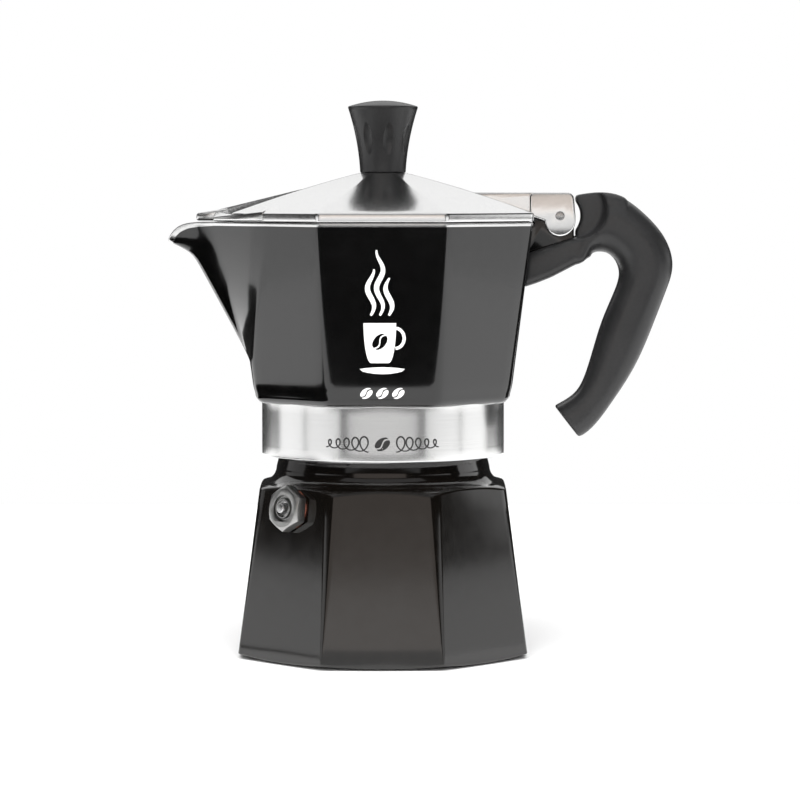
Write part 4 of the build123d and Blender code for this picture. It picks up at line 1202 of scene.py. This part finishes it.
# ---------------------------------------------------------------------------------------------
# Engraving on the collar: a coffee bean between two looped pen scrolls. The grooves are not cut:
# thin dark lines lie on the collar, and their dark colour is painted shade for the grooves.
# It says nothing: it only gives the collar its front.

SCROLL_Z = 65.3
SCROLL_NEAR = 4.0
SCROLL_FAR = 17.0
SCROLL_LOOPS = 5
SCROLL_RISE = (2.3, 1.0)
SCROLL_LOOP = (1.9, 0.9)
SCROLL_WIDTH = 0.42
SCROLL_STEPS = 150
# Painted shade: this dark colour stands in for the shadow inside engraved grooves that are not cut.
groove_shade = finish(
    "groove_shade_line", GRAIN, 2200, 120, (0.010, 0.010, 0.010), (0.025, 0.025, 0.025), (0.45, 0.60), 0.01)

art = bmesh.new()
for side in (-1, 1):
    scroll = []
    pen = []
    for step in range(SCROLL_STEPS + 1):
        share = step / SCROLL_STEPS
        turn = 2 * pi * SCROLL_LOOPS * share
        rise = SCROLL_RISE[0] + (SCROLL_RISE[1] - SCROLL_RISE[0]) * share
        loop = SCROLL_LOOP[0] + (SCROLL_LOOP[1] - SCROLL_LOOP[0]) * share
        out = SCROLL_NEAR + (SCROLL_FAR - SCROLL_NEAR) * share + loop * sin(turn)
        scroll.append((side * out, SCROLL_Z - rise * cos(turn)))
        pen.append(SCROLL_WIDTH * (0.8 + 0.4 * abs(sin(turn / 2))))
    stroke(art, scroll, pen, on_collar, lift=0.02)
for half in bean_halves(0.0, SCROLL_Z, 5.0, 3.4, radians(35), 0.22):
    ink(art, half, on_collar, lift=0.02)
collar_scroll = printed(art, "collar_scroll", groove_shade, "collector")

# ---------------------------------------------------------------------------------------------
# Studio: a pale floor, a wide overhead light that gives no glints, and a ring of soft boxes whose
# heights decide what each facet mirrors.

FLOOR = ((-0.60, -0.26), (0.60, 0.45))
CARD = ((-0.33, -0.14), (-0.15, 0.14))
CARD_Z = 0.001


def stage_sheet(name, corners, z, shade):
    """A flat rectangle of the set, matt and of one shade."""
    (x0, y0), (x1, y1) = corners
    mesh = bpy.data.meshes.new(name)
    mesh.from_pydata([(x0, y0, z), (x1, y0, z), (x1, y1, z), (x0, y1, z)], [], [(0, 1, 2, 3)])
    paint = bpy.data.materials.new(name + "_paint")
    paint.use_nodes = True
    shader = paint.node_tree.nodes["Principled BSDF"]
    shader.inputs["Base Color"].default_value = (shade, shade, shade, 1)
    shader.inputs["Roughness"].default_value = 1.0
    shader.inputs["Specular IOR Level"].default_value = 0.0
    mesh.materials.append(paint)
    sheet = bpy.data.objects.new(name, mesh)
    bpy.context.scene.collection.objects.link(sheet)
    sheet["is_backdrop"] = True
    return sheet


stage_sheet("floor", FLOOR, 0.0, 0.9)
card = stage_sheet("black_card", CARD, CARD_Z, 0.0)
card.visible_camera = False
card.visible_diffuse = False
card.visible_shadow = False


def softbox(name, place, aim, width, height, brightness, tint=(1.0, 1.0, 1.0)):
    """A soft rectangular light; brightness is its own, so that its size does not change it."""
    lamp = bpy.data.lights.new(name, "AREA")
    lamp.shape = "RECTANGLE"
    lamp.size = width
    lamp.size_y = height
    lamp.energy = brightness * pi * width * height
    lamp.color = tint
    box = bpy.data.objects.new(name, lamp)
    box.location = place
    box.rotation_euler = (Vector(aim) - Vector(place)).to_track_quat("-Z", "Y").to_euler()
    box.visible_camera = False
    bpy.context.scene.collection.objects.link(box)
    return box


RING = (
    ("front_strip", -90, 1.30, -0.12, 0.20, 1.70, 0.80),
    ("left_front_strip", -148, 1.20, -0.12, 0.20, 0.80, 1.00),
    ("right_front_strip", -32, 1.20, -0.12, 0.20, 0.80, 1.00),
    ("left_strip", 174, 0.90, -0.12, 0.085, 0.55, 1.20),
    ("right_strip", 6, 0.90, -0.12, 0.085, 0.55, 1.20),
)
for name, around, reach, foot, top, width, brightness in RING:
    place = polar(reach, radians(around), (foot + top) / 2)
    softbox(name, place, (0, 0, place.z), width, top - foot, brightness)
softbox("front_box", (-0.1, -1.9, 0.46), (0, 0, 0.10), 2.0, 0.60, 0.66, (1.0, 0.88, 0.80))
softbox("right_box", (1.40, 0.46, 0.30), (1.0, 0.46, 0.30), 0.90, 0.34, 1.2)
softbox("left_box", (-1.40, 0.56, 0.30), (-1.0, 0.56, 0.30), 0.90, 0.34, 0.4)
softbox("back_box", (-0.2, 1.4, 1.15), (0, 0, 0.12), 3.6, 1.2, 0.93)
softbox("front_top_box", (0.0, -1.4, 1.25), (0, 0, 0.12), 3.0, 1.0, 0.45)
softbox("top_box", (0.0, 0.1, 1.5), (0, 0, 0.0), 1.6, 1.0, 1.0)

OVERHEAD_TURN = (radians(43), 0.0, 0.0)
overhead = bpy.data.lights.new("overhead", "SUN")
overhead.energy = 5.2
overhead.angle = radians(80)
overhead_lamp = bpy.data.objects.new("overhead", overhead)
overhead_lamp.rotation_euler = OVERHEAD_TURN
overhead_lamp.visible_glossy = False
bpy.context.scene.collection.objects.link(overhead_lamp)

world = bpy.data.worlds.new("studio")
bpy.context.scene.world = world
world.use_nodes = True
seen = world.node_tree.nodes.new("ShaderNodeLightPath")
shade = world.node_tree.nodes.new("ShaderNodeMix")
shade.data_type = "RGBA"
world.node_tree.links.new(seen.outputs["Is Camera Ray"], shade.inputs["Factor"])
shade.inputs[6].default_value = (0.03, 0.03, 0.03, 1)
shade.inputs[7].default_value = (1, 1, 1, 1)
world.node_tree.links.new(shade.outputs[2], world.node_tree.nodes["Background"].inputs["Color"])
bpy.context.scene.view_settings.view_transform = "Standard"

EYE = (0.0051, -0.976, 0.1394)
AIM = (0.0051, 0.0, 0.0758)
LENS = 146.5
lens = bpy.data.cameras.new("camera")
lens.lens = LENS
lens.sensor_width = 36
camera = bpy.data.objects.new("camera", lens)
camera.location = EYE
camera.rotation_euler = (Vector(AIM) - Vector(EYE)).to_track_quat("-Z", "Y").to_euler()
bpy.context.scene.collection.objects.link(camera)
bpy.context.scene.camera = camera

low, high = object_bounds()
